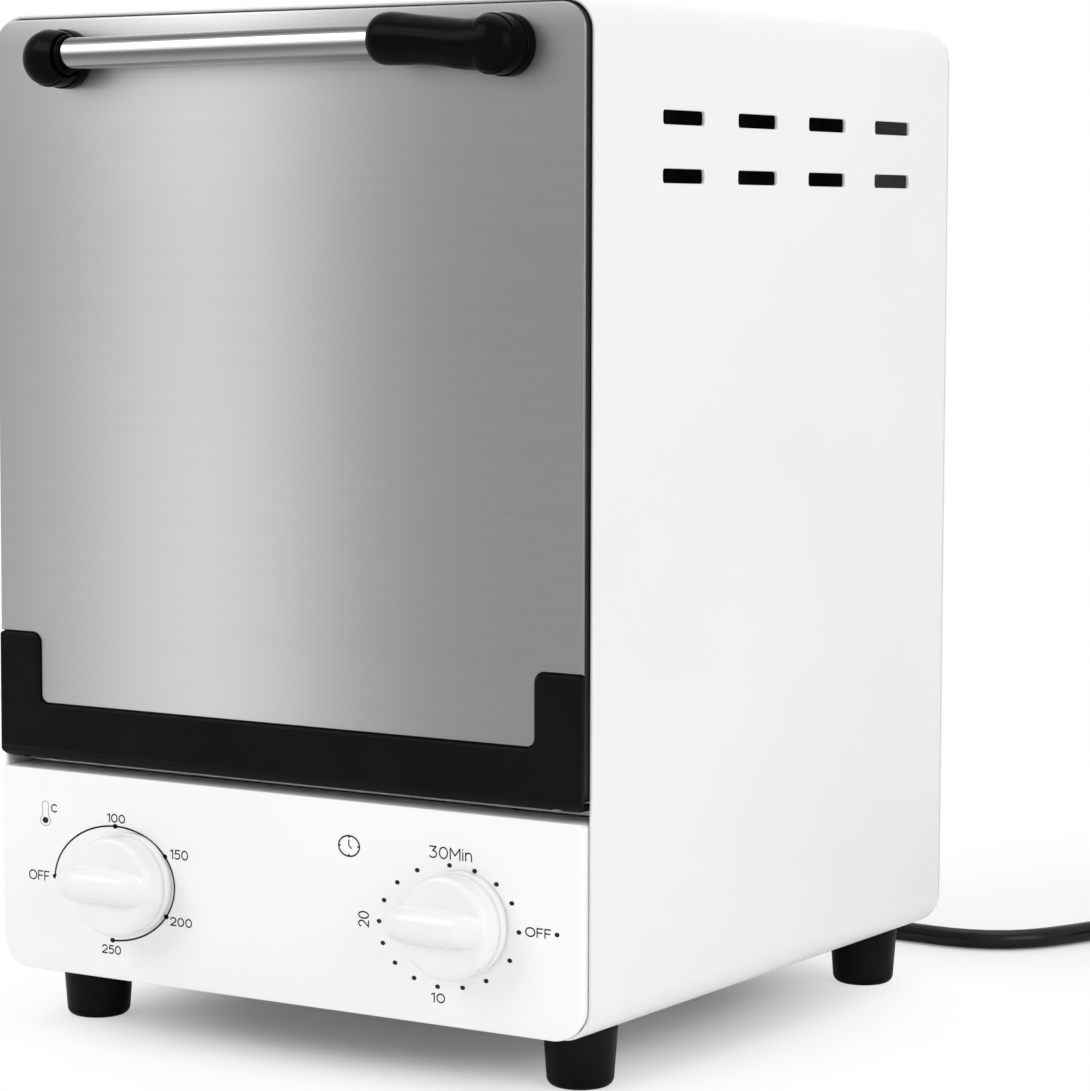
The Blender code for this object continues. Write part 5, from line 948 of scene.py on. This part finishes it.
for word in ("left", "right"):
    low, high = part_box(f"handle_post_{word}")
    side = -1 if word == "left" else 1
    outer_edge = (low.x if side < 0 else high.x) / MM
    x = outer_edge - side * POST_RADIUS
    z = BAR_Z - (0.6 if side < 0 else 0)
    seat = DOOR_FRONT
    profile = [(seat + 0.3, 8.6), (seat, 8.9), (seat - 0.2, 9.1), (seat - 3.4, 9.1), (seat - 3.75, 9.0),
               (seat - 3.95, 8.8), (seat - 4.0, 8.55), (seat - 4.1, 8.5), (seat - 4.2, 8.65), (CAP_Y + 0.7, 8.75),
               (CAP_Y + 0.45, 8.7), (CAP_Y + 0.25, 8.5), (CAP_Y + 0.2, 8.35), (CAP_Y + 0.05, 8.3)]
    profile += [(CAP_Y - CAP_DOME * sin(a), 8.3 * cos(a) ** 0.9) for a in quarter(16)[:-1]]
    profile += [(CAP_Y - CAP_DOME, 0.3)]
    post = adopt(f"post_{word}", turned(f"post_{word}", profile, at_y, (x, z), 96), HANDLE_BLACK,
                 f"handle_post_{word}")
    end = x - side * (5.8 if side < 0 else 9.28)
    lip = 0.35 if side < 0 else 0.05
    length = abs(end - x)
    sections = [section for section in COLLAR_SECTIONS if section[0] < length - 0.5]
    for share in (1.0, 0.3, 0.0):
        sections.append((length - lip * share, *[COLLAR_RADIUS - lip * (1 - share)] * 2))
    collar = [at_x(ellipse(BAR_Y, BAR_Z, *halves), x - side * along) for along, *halves in sections]
    combine(post, ring_body("collar", collar), "UNION")
    drill = [(x - side * 1.5, 6.2), (end + side * 0.4, 6.4), (end - side * 0.3, 6.7), (end - side * 2, 6.7)]
    if side < 0:
        combine(post, turned("drill", drill, at_x, (BAR_Y, BAR_Z), 96))
        bush = [(x - side, 6.1), (end - side * 1.2, 6.1), (end - side * 1.5, 5.9), (end - side * 1.6, 5.5)]
        combine(post, turned("bush", bush, at_x, (BAR_Y, BAR_Z + 0.25), 96), "UNION")
    lifted = BAR_Z + (BAR_LIFT_END if side < 0 else 0.8)
    hole = [(x - side * 3.5, BAR_RADIUS + 0.12), (end - side * 4, BAR_RADIUS + 0.12)]
    combine(post, turned("hole", hole, at_x, (BAR_Y, lifted), 96))
    post.data.shade_smooth()
    post.data.set_sharp_from_angle(angle=radians(30))
    print(f"post {word} at x {x:.1f}")

# %% [markdown]
# The grip is a soft-looking sleeve. Its free end is fully rounded and rides highest, then its line falls to meet the
# right post. That is a loft of circles whose centres drift and whose radii swell, each read off a smooth curve.

# %% Handle grip
grip_low, grip_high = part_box("handle_grip")
GRIP_START, GRIP_END = round(grip_low.x / MM, 3), round(grip_high.x / MM, 3)
GRIP_PLACES = (42.7, 42.85, 43.2, 43.8, 44.8, 46.4, 48.7, 52.1, 57.5, 64.2, 71.0, 73.7)
GRIP_RADII = (5.3, 5.75, 6.25, 6.75, 7.25, 7.6, 7.72, 7.6, 7.2, 7.12, 7.25, 7.28)
GRIP_LIFTS = (2.0, 2.05, 2.1, 2.15, 2.2, 2.25, 2.25, 2.1, 1.75, 1.15, 0.3, 0.05)


def smooth_read(x, places, values):
    """A value off a smooth curve through (place, value) pairs."""
    slopes = np.gradient(values, places)
    k = min(int(np.searchsorted(places, x, side="right")) - 1, len(places) - 2)
    gap = places[k + 1] - places[k]
    t = (x - places[k]) / gap
    return ((2 * t ** 3 - 3 * t ** 2 + 1) * values[k] + (t ** 3 - 2 * t ** 2 + t) * gap * slopes[k]
            + (3 * t ** 2 - 2 * t ** 3) * values[k + 1] + (t ** 3 - t ** 2) * gap * slopes[k + 1])


grip_places = [*GRIP_PLACES[:5], *np.linspace(45.3, GRIP_END, 40)]
grip_rings = [at_x(circle(BAR_Y, BAR_Z + smooth_read(x, GRIP_PLACES, GRIP_LIFTS),
                          smooth_read(x, GRIP_PLACES, GRIP_RADII), 96), x) for x in grip_places]
grip_rings += [at_x(circle(BAR_Y, BAR_Z + bar_lift(x), BAR_RADIUS + 0.12, 96), x)
               for x in (GRIP_END, 58, 50, GRIP_START)]
adopt_rings("grip_sleeve", grip_rings, HANDLE_BLACK, "handle_grip", closed=True)
print(f"grip {GRIP_START} to {GRIP_END}")

# %% [markdown]
# ## The knobs
# Each knob is a tall white cap over a thin skirt, with a fine groove between them. A soft, wide bar crosses its
# slightly dished face, melts into the wall on the right, and runs out past the rim on the left as the pointer. This
# shape follows a rule, so a polar grid of points is bent into it: for each point the rule gives a height over the
# panel.

# %% The knob's rules
KNOB_HEIGHT, KNOB_TIP = 15.0, 20.7
CAP_RADIUS, NOSE_HALF = 15.6, 5.3
FACE_SHARE, FACE_HEIGHT = 0.88, 11.3


def knob_reach(angle, nose):
    """Distance from the axis to the cap's edge, with the pointer at the left."""
    if nose <= 0 or cos(angle) > -0.5:
        return CAP_RADIUS
    reach = CAP_RADIUS
    for _ in range(12):
        across = abs(reach * sin(angle)) / NOSE_HALF
        reach = max(CAP_RADIUS, (KNOB_TIP - 4.2 * across ** 2.6) / abs(cos(angle)) * 0.5 + reach * 0.5)
    return CAP_RADIUS + nose * (reach - CAP_RADIUS)


def bar_half(u):
    """Half the width of the bar at u to the right of the axis."""
    share = u / 15
    return 5.8 - 2.1 * share ** 2 if u > 0 else 5.8 - 0.6 * min(share ** 2, 1.2)


def smooth_step(t):
    t = min(1, max(0, t))
    return t * t * (3 - 2 * t)


def knob_height(u, w):
    """Height of the knob over the panel: a slightly domed face that swells into a rounded bar."""
    edge = min(1, (u * u + w * w) / (FACE_SHARE * CAP_RADIUS) ** 2)
    face = FACE_HEIGHT - 0.9 * (1 - edge)
    crown = KNOB_HEIGHT - 0.2 - 1.2 * smooth_step((-u - 12) / 8) - 2.6 * smooth_step((u - 5) / 9)
    inside = min(1, abs(w) / bar_half(u))
    bar = face - 1 + (crown - face + 1) * (1 - inside ** 2.6) ** 0.6
    return max(bar, face) + max(0, 0.8 - abs(bar - face)) ** 2 / 3.2


print(f"bar stands {knob_height(0, 0) - knob_height(0, 9):.1f} mm over the face")

# %% [markdown]
# The grid has rings from the middle of the face out to its edge, then over a generous rounded rim, down the cap's
# wall, through the groove and down the skirt. The hole for the shaft is closed by the shaft itself.

# %% Build both knobs


# Height over the panel, share of the cap's reach, and how much of the pointer's nose is left, down the cap's wall,
# through the groove and down the skirt.
KNOB_WALL = ((8.8, 1.0, 0.92), (8.0, 0.998, 0.75), (7.2, 0.996, 0.5), (6.5, 0.994, 0.27), (6.0, 0.992, 0.1),
             (5.5, 0.991, 0), (4.0, 0.988, 0), (3.75, 0.98, 0), (3.6, 0.965, 0), (3.55, 0.945, 0), (3.05, 0.945, 0),
             (3.0, 0.985, 0), (2.9, 1.0, 0), (2.7, 1.006, 0), (0.25, 1.006, 0), (0.0, 0.99, 0), (0.0, 0.3, 0))
KNOB_SIDES, FACE_RINGS, RIM_RINGS = 200, 46, 10


def knob_rings(x):
    base = PANEL_FRONT - 0.5
    angles = [2 * pi * k / KNOB_SIDES for k in range(KNOB_SIDES)]

    def ring_at(share, height, nose=1.0):
        """One ring. height is a number, or a function of the angle and the place on the face."""
        ring = []
        for a in angles:
            reach = share * knob_reach(a, nose)
            u, w = reach * cos(a), reach * sin(a)
            ring.append((x + u, base - (height(a, u, w) if callable(height) else height), KNOB_Z + w))
        return ring

    def rim(t):
        def height(a, u, w):
            reach = FACE_SHARE * knob_reach(a, 1)
            edge = knob_height(reach * cos(a), reach * sin(a))
            return edge - (2.0 + 0.5 * (edge - FACE_HEIGHT)) * (1 - cos(t))
        return ring_at(FACE_SHARE + (1 - FACE_SHARE) * sin(t), height)

    rings = [ring_at(share * FACE_SHARE, lambda a, u, w: knob_height(u, w))
             for share in (0.004, 0.04, *np.linspace(0.08, 1, FACE_RINGS))]
    rings += [rim(t) for t in quarter(RIM_RINGS)[1:]]
    rings += [ring_at(share, height, nose) for height, share, nose in KNOB_WALL]
    return rings


for word, x in KNOB_X.items():
    knob = adopt_rings(f"{word}_dial_knob", knob_rings(x), KNOB_WHITE, f"{word}_knob", smooth=50)
print("knob faces:", len(knob.data.polygons))

# %% [markdown]
# ## The printed dials
# Numbers and marks are printed flat on the panel, so they are thin meshes that lie a twentieth of a millimetre proud.
# Numbers are drawn with a round pen: every stroke is a run of small rectangles with a disc at each joint.

# %% Flat print helpers
PRINT_Y = PANEL_FRONT - 0.04


def print_mesh(name, outlines):
    """Flat shapes on the panel that face the front, each an outline in x and z."""
    points, faces = [], []
    for outline in outlines:
        first = len(points)
        points.extend(spot(u, PRINT_Y, v) for u, v in outline)
        ring = [Vector((u, v, 0)) for u, v in outline]
        faces.extend(tuple(first + i for i in triple) for triple in tessellate_polygon([ring]))
    mesh = bpy.data.meshes.new(name)
    mesh.from_pydata([tuple(p) for p in points], [], faces)
    with editing(mesh) as body:
        body.normal_update()
        for face in body.faces:
            if face.normal.y > 0:
                face.normal_flip()
    return mesh


# Each sign is one or more pen strokes in a cell one unit high.
STROKES = {
    "0": [arc(0.36, 0.5, 0.36, 0.5, 0, 360, 32)],
    "O": [arc(0.5, 0.5, 0.5, 0.5, 0, 360, 36)],
    "1": [[(0, 0.84), (0.26, 1), (0.26, 0)]],
    "2": [arc(0.33, 0.68, 0.32, 0.32, 165, -40) + [(0, 0), (0.66, 0)]],
    "3": [[(0.02, 1), (0.6, 1), (0.28, 0.62)] + arc(0.3, 0.31, 0.34, 0.31, 80, -140)],
    "5": [[(0.58, 1), (0.12, 1), (0.06, 0.55)] + arc(0.29, 0.32, 0.33, 0.32, 115, -140)],
    "F": [[(0, 0), (0, 1), (0.6, 1)], [(0, 0.5), (0.52, 0.5)]],
    "M": [[(0, 0), (0, 1), (0.43, 0.35), (0.86, 1), (0.86, 0)]],
    "i": [[(0, 0), (0, 0.7)], [(0, 0.93), (0, 0.97)]],
    "n": [[(0, 0), (0, 0.72)], [(0, 0.4)] + arc(0.26, 0.42, 0.26, 0.3, 170, 0) + [(0.52, 0)]],
    "C": [arc(0.5, 0.5, 0.5, 0.5, 45, 315, 28)],
}
PEN, SIGN_GAP = 0.42, 0.26


def word_mesh(name, text, x, z, width, height, turn=0):
    """Pen-stroke text that fills a box of width by height millimetres, centred on a drawing point."""
    runs, reach = [], 0
    for sign in text:
        runs += [[(u + reach, v) for u, v in stroke] for stroke in STROKES[sign]]
        reach += max(u for stroke in STROKES[sign] for u, _ in stroke) + SIGN_GAP
    if turn:
        runs = [[(-v, u) for u, v in stroke] for stroke in runs]
    places = np.array([place for stroke in runs for place in stroke])
    low, high = places.min(axis=0), places.max(axis=0)
    outlines = []
    for stroke in runs:
        pen = [(x + ((u - low[0]) / (high[0] - low[0]) - 0.5) * (width - PEN),
                z + ((v - low[1]) / (high[1] - low[1]) - 0.5) * (height - PEN)) for u, v in stroke]
        for a, b in zip(pen, pen[1:]):
            along = (Vector(b) - Vector(a)).normalized() * PEN / 2
            outlines.append([(a[0] - along.y, a[1] + along.x), (a[0] + along.y, a[1] - along.x),
                             (b[0] + along.y, b[1] - along.x), (b[0] - along.y, b[1] + along.x)])
        outlines += [[(u + PEN / 2 * cos(pi * k / 5), v + PEN / 2 * sin(pi * k / 5)) for k in range(10)]
                     for u, v in pen]
    return print_mesh(name, outlines)


print("print plane at y", PRINT_Y)

# %% [markdown]
# The temperature dial is a thin line that runs clockwise from OFF to the highest mark, with a dot at each number. The
# timer dial is a ring of sixteen dots. Dots repeat round a rule, so a node tree places them along an ellipse.

# %% Dots along an ellipse with Geometry Nodes


def ellipse_places(sums, given, index):
    """Count places along an ellipse, from Start and by Step in degrees."""
    turn = sums("MULTIPLY", sums("ADD", given["Start"], sums("MULTIPLY", index, given["Step"])), pi / 180)
    level = sums("COSINE", turn)
    upright = sums("ADD", sums("MULTIPLY", sums("SINE", turn), given["Height"]),
                   sums("MULTIPLY", level, given["Lean"]))
    return given["Count"], (sums("MULTIPLY", level, given["Width"]), 0, upright)


dot_tree = copying_tree("dial_dots", (("Count", "Int"), *[(label, "Float") for label in (
    "Width", "Height", "Lean", "Start", "Step")]), ellipse_places)
print("dot tree has", len(dot_tree.nodes), "nodes")

# %% [markdown]
# Now the two dials themselves. Each ellipse leans a little, so its height also takes a small share of the cosine. The
# line of the temperature dial is a narrow ribbon along the same ellipse.

# %% Dials
TEMPERATURE_DIAL = {"x": -63.33, "z": 30.5, "width": 23.8, "height": 18.0, "lean": 0.78}
TIMER_DIAL = {"x": 62.13, "z": 29.95, "width": 24.74, "height": 18.26, "lean": 1.37}


def band(points, thickness, closed=False):
    """Small faces along a run of points, which together make a line of that thickness."""
    runs = list(zip(points, points[1:] + points[:1] if closed else points[1:]))
    sides = []
    for index, point in enumerate(points):
        before = Vector(points[index - 1] if index or closed else point)
        after = Vector(points[(index + 1) % len(points)] if index < len(points) - 1 or closed else point)
        along = (after - before).normalized()
        across = Vector((-along.y, along.x)) * thickness / 2
        sides.append((tuple(Vector(point) + across), tuple(Vector(point) - across)))
    count = len(points) if closed else len(points) - 1
    return [[sides[k][0], sides[(k + 1) % len(sides)][0], sides[(k + 1) % len(sides)][1], sides[k][1]]
            for k in range(count)]


def dial_line(dial, start, end, thickness, steps=96):
    points = []
    for k in range(steps + 1):
        a = radians(start + (end - start) * k / steps)
        points.append((dial["x"] + dial["width"] * cos(a), dial["z"] + dial["height"] * sin(a) + dial["lean"] * cos(a)))
    return band(points, thickness)


def dots(name, dial, half_width, half_height, count, start, step):
    dot = print_mesh(name, [ellipse(dial["x"], dial["z"], half_width, half_height, 24)])
    return through_nodes(name, dot, dot_tree, Count=count, Width=dial["width"] * MM, Height=dial["height"] * MM,
                         Lean=dial["lean"] * MM, Start=start, Step=step, Finish=INK)


def print_on_panel(name, outlines, ink=INK):
    adopt(f"print_{name}", print_mesh(f"print_{name}", outlines), ink, "control_panel", replaces=False)


marks = {"temperature_line": print_mesh("temperature_line", dial_line(TEMPERATURE_DIAL, 177.7, -91.8, 0.58))}
for number, angle in enumerate((177.7, 88.6, 32.4, -30.4, -91.8)):
    marks[f"temperature_dot_{number}"] = dots(f"temperature_dot_{number}", TEMPERATURE_DIAL, 0.98, 0.76, 1, angle, 0.0)
for number, (count, start, step) in enumerate(((10, 116.4, 20.7), (2, -29.3, 27.9), (4, 25.9, 21.0))):
    marks[f"timer_dots_{number}"] = dots(f"timer_dots_{number}", TIMER_DIAL, 0.85, 0.68, count, start, step)
words = {
    "off_left": ("OFF", -93.6, 30.2, 8.42, 3.2), "mark_100": ("100", -62.37, 51.01, 7.17, 2.83),
    "mark_150": ("150", -37.66, 41.86, 7.01, 3.11), "mark_200": ("200", -37.04, 20.89, 8.57, 2.81),
    "mark_250": ("250", -64.56, 9.49, 7.61, 2.85), "off_right": ("OFF", 93.44, 31.42, 8.91, 2.93),
    "minutes_10": ("10", 58.56, 8.34, 4.98, 2.99), "minutes_20": ("20", 31.75, 29.12, 4.01, 4.83, 90),
    "minutes_30": ("30Min", 62.96, 51.71, 15.17, 3.7), "degree_letter": ("C", -87.32, 52.05, 2.45, 2.7),
}
marks.update({name: word_mesh(name, *values) for name, values in words.items()})
marks["off_dot"] = print_mesh("off_dot", [ellipse(99.93, 31.53, 0.85, 0.68, 24)])
for name, mesh in marks.items():
    adopt(f"print_{name}", mesh, INK, "control_panel", replaces=False)
print("printed marks:", len(marks))

# %% [markdown]
# Two small pictograms stand over the dials: a pale thermometer with a black bulb, and a clock face.

# %% Pictograms
THERMOMETER, CLOCK = (-90.83, 48.0), (26.5, 50.62)


def thermometer_line(x, z):
    """Round the bulb from its right shoulder, then up and over the tube."""
    bulb = [(x + 2.05 * cos(radians(a)), z + 1.75 * sin(radians(a))) for a in range(130, 411, 14)]
    tube = [(x + 1.2, z + 2.4), (x + 1.25, z + 4.6), (x + 1.1, z + 5.6), (x + 0.2, z + 6.1), (x - 0.8, z + 5.9),
            (x - 1.25, z + 5.2), (x - 1.15, z + 2.4)]
    return bulb + tube


def clock(x, z):
    face = band(ellipse(x, z, 3.8, 3.1, 40), 0.5, closed=True)
    hands = band([(x - 0.1, z + 1.9), (x - 0.05, z + 0.2), (x + 0.95, z - 0.75)], 0.45)
    ticks = [ellipse(x + 3.4 * cos(radians(a)), z + 2.75 * sin(radians(a)), 0.4, 0.3, 12) for a in (0, 90, 180, 270)]
    return face + hands + ticks


print_on_panel("thermometer", band(thermometer_line(*THERMOMETER), 0.38, closed=True), PALE_INK)
print_on_panel("thermometer_bulb", [ellipse(*THERMOMETER, 1.2, 0.98, 24)])
print_on_panel("clock", clock(*CLOCK))
print("pictograms placed")

# %% [markdown]
# ## The feet
# Four moulded rubber feet taper slightly to a rounded lower edge. They are hollow round their screws, so the profile
# runs down the outside, across the bottom, and up the recess.

# %% Feet


def foot_mesh(name, x, y):
    low = FLOOR
    side = [(low + 2.8 * (1 - cos(a)), 10.1 - 2.8 * (1 - sin(a))) for a in quarter(8)]
    profile = [*side, (-2.2, 11.1), (-1.2, 11.2), (-0.6, 11.05), (-0.3, 10.7), (-0.3, 2.2), (low + 10, 2.2),
               (low + 10, 4.7), (low + 9.7, 5), (low + 0.3, 5), (low, 5.3)]
    return turned(name, profile, at_z, (x, y), 64, closed=True)


for corner_name in ("front_left", "front_right", "rear_left", "rear_right"):
    low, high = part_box(f"foot_{corner_name}")
    middle_point = ((low + high) / 2 - ORIGIN) / MM
    adopt(f"rubber_foot_{corner_name}", foot_mesh(f"rubber_foot_{corner_name}", middle_point.x, middle_point.y),
          FOOT_RUBBER, f"foot_{corner_name}")
print("feet stand at", round(FLOOR, 2))

# %% [markdown]
# ## Screws
# Pan-head screws hold the back panel. A head is turned and its cross recess is cut once, then a copy goes to each of
# the six screws of the model.

# %% Back screws
HEAD_FACE = CASE_BACK + 0.3


def screw_mesh(x, z):
    profile = [(CASE_BACK - 6, 1.2), (CASE_BACK - 5.6, 1.5), (HEAD_FACE, 1.5), (HEAD_FACE, 3.1), (HEAD_FACE + 0.3, 3.2),
               (HEAD_FACE + 0.9, 3.1), (HEAD_FACE + 1.4, 2.6), (HEAD_FACE + 1.7, 1.8), (HEAD_FACE + 1.8, 0.5)]
    return turned("screw", profile, at_y, (x, z), 32)


screw = in_scene("screw_maker", screw_mesh(0, 0))
for wide_u, wide_v in ((1.7, 0.4), (0.4, 1.7)):
    cross = box_outline(-wide_u, wide_u, -wide_v, wide_v, 0.15, 2)
    combine(screw, prism(cross, at_y, HEAD_FACE + 0.7, HEAD_FACE + 3))
screw_template = screw.data
bpy.data.objects.remove(screw)
for number in range(1, 7):
    low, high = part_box(f"back_screw_{number}")
    mesh = screw_template.copy()
    middle_point = (low + high) / 2
    mesh.transform(Matrix.Translation((middle_point.x, 0, middle_point.z - ORIGIN.z)))
    adopt(f"panel_screw_{number}", mesh, ZINC, f"back_screw_{number}", smooth=35)
print("six back screws")

# %% [markdown]
# ## Every other part
# The remaining solids have the right shape already. Each is copied, its loose triangles are merged, flat triangles
# are dissolved into clean faces, and a small bevel softens the edges so that they glint. The finish comes from a list.

# %% Dress the remaining parts
# Each group shares a finish and a bevel in millimetres. A name that ends in * stands for all that begin so.
GROUPS = (
    (WHITE_COAT, 0.2, "back_panel"), (SEAL_RUBBER, 0.2, "door_seal"), (SHELL_BLACK, 0.2, "door_pan"),
    (ZINC, 0.2, "base_plate hinge_bracket_* stay_arm_* foot_screw_*"), (ZINC, 0.15, "front_frame"),
    (INNER_STEEL, 0.0, "chamber_liner timer_bell"), (INNER_STEEL, 0.1, "thermostat_shaft timer_shaft"),
    (INNER_STEEL, 0.15, "hinge_pin_* tray"), (INNER_STEEL, 0.3, "door_inner_panel"),
    (VENT_SHADE_FIBRE, 1.2, "insulation_blanket"), (HEATER_METAL, 0.0, "heater_upper heater_lower"),
    (COPPER, 0.2, "sensor_bulb"), (COPPER, 0.0, "capillary_tube"), (CONTROL_PLASTIC, 0.3, "thermostat_body timer_body"),
    (CERAMIC, 0.3, "terminal_block"), (CERAMIC, 0.2, "heater_bush_*"), (CORD_BLACK, 0.0, "lead_*"),
)
FINISHES = {node: (material, bevel) for material, bevel, names in GROUPS for name in names.split()
            for node in frame["nodes"] if node == name or name.endswith("*") and node.startswith(name[:-1])}


SAME_PLACE, FLAT_DEGREES = 0.000002, 0.4


def dressed_copy(node, material, bevel):
    mesh = frame["nodes"][node].data.copy()
    with editing(mesh) as body:
        bmesh.ops.remove_doubles(body, verts=body.verts, dist=SAME_PLACE)
        bmesh.ops.dissolve_limit(body, angle_limit=radians(FLAT_DEGREES), verts=body.verts, edges=body.edges)
    piece = adopt(f"{node}_dressed", mesh, material, node)
    if bevel:
        modifier = piece.modifiers.new("soft edges", "BEVEL")
        modifier.width = bevel * MM
        modifier.segments = 2
        modifier.limit_method = "ANGLE"
        modifier.angle_limit = radians(50)
        modifier.harden_normals = True
    return piece


for node, (material, bevel) in sorted(FINISHES.items()):
    dressed_copy(node, material, bevel)
print("dressed", len(FINISHES), "parts")

# %% [markdown]
# ## Light, floor and background
# Product pictures like this one use a white sweep and large soft lamps. The background is white to the camera and
# to mirrors, while the light that the world gives the object stays at a plain level. The floor is white for
# the camera except where the object shades it.

# %% World
WORLD_STRENGTH = 0.61
world = bpy.data.worlds.new("white_studio")
bpy.context.scene.world = world
world.use_nodes = True
tree = world.node_tree
background = tree.nodes["Background"]
background.inputs["Color"].default_value = (1.0, 1.0, 1.0, 1)
background.inputs["Strength"].default_value = WORLD_STRENGTH
white = add_node(tree, "ShaderNodeBackground", {"Color": (1, 1, 1, 1), "Strength": 1.0})
rays = tree.nodes.new("ShaderNodeLightPath").outputs
mirrored = maths(tree, "MAXIMUM", rays["Is Glossy Ray"], rays["Is Transmission Ray"])
seen = maths(tree, "MAXIMUM", rays["Is Camera Ray"], mirrored)
mix = add_node(tree, "ShaderNodeMixShader", {0: seen, 1: background.outputs[0], 2: white.outputs[0]})
feed(tree, tree.nodes["World Output"].inputs["Surface"], mix.outputs[0])
bpy.context.scene.view_settings.view_transform = "Standard"
print("world strength", WORLD_STRENGTH)

# %% [markdown]
# The floor is a real surface near the object, where it takes the soft shadow. Further out it turns into pure white
# for the camera, as a photographer's curved sweep does, so no horizon shows. Only the place on the floor decides
# which: white comes soon in front and at the sides, and much later behind the case, where the cord lies.

# %% Floor
# Distances in metres from the object's middle, and from the middle towards the back, over which the floor turns white.
FADE_AROUND, FADE_BEHIND, BEHIND_EDGE = (0.07, 0.175), (0.40, 0.75), (0.10, 0.19)
FLOOR_GLOW = 0.06
floor_material = new_finish("pale_floor", grey(0.96), 0.7, Specular_IOR_Level=0.2)
tree = floor_material.node_tree
shader = tree.nodes["Principled BSDF"]
camera_ray = tree.nodes.new("ShaderNodeLightPath").outputs["Is Camera Ray"]
near_glow = add_node(tree, "ShaderNodeEmission", {"Strength": maths(tree, "MULTIPLY", camera_ray, FLOOR_GLOW)})
far_glow = add_node(tree, "ShaderNodeEmission", {"Strength": 1.0})
total = add_node(tree, "ShaderNodeAddShader", {0: shader.outputs[0], 1: near_glow.outputs[0]})
from_middle = add_node(tree, "ShaderNodeVectorMath", {0: object_place(tree)}, operation="LENGTH").outputs["Value"]


def soft_range(value, low, high):
    return add_node(tree, "ShaderNodeMapRange", {"Value": value, "From Min": low, "From Max": high},
                    interpolation_type="SMOOTHSTEP").outputs["Result"]


fade = add_node(tree, "ShaderNodeMix", {
    "Factor": soft_range(axis_of(floor_material, "Y"), *BEHIND_EDGE),
    "A": soft_range(from_middle, *FADE_AROUND), "B": soft_range(from_middle, *FADE_BEHIND)})
reach = maths(tree, "MULTIPLY", fade.outputs["Result"], camera_ray)
blend = add_node(tree, "ShaderNodeMixShader", {0: reach, 1: total.outputs[0], 2: far_glow.outputs[0]})
feed(tree, tree.nodes["Material Output"].inputs["Surface"], blend.outputs[0])
floor_mesh = bpy.data.meshes.new("studio_floor")
floor_mesh.from_pydata([(-6, -6, 0), (6, -6, 0), (6, 6, 0), (-6, 6, 0)], [], [(0, 1, 2, 3)])
floor_mesh.materials.append(floor_material)
floor = in_scene("studio_floor", floor_mesh)
print("floor laid")

# %% [markdown]
# Three large area lamps: a key from the upper left, a weaker one from the right that lifts the case's side, and one
# overhead.

# %% Lamps


def soft_lamp(name, place, target, size, power):
    data = bpy.data.lights.new(name, "AREA")
    data.shape = "RECTANGLE"
    data.size, data.size_y = size
    data.energy = power
    lamp = in_scene(name, data)
    lamp.location = place
    lamp.rotation_euler = (Vector(target) - Vector(place)).to_track_quat("-Z", "Y").to_euler()


centre = (0, 0, 0.16)
soft_lamp("key_left", (-1.3, -1.9, 1.6), centre, (1.4, 1.4), 16.5)
soft_lamp("fill_right", (2.0, -0.6, 0.8), centre, (1.4, 1.4), 12)
soft_lamp("overhead", (0, 0.2, 2.2), centre, (1.8, 1.8), 14)
print("three lamps")
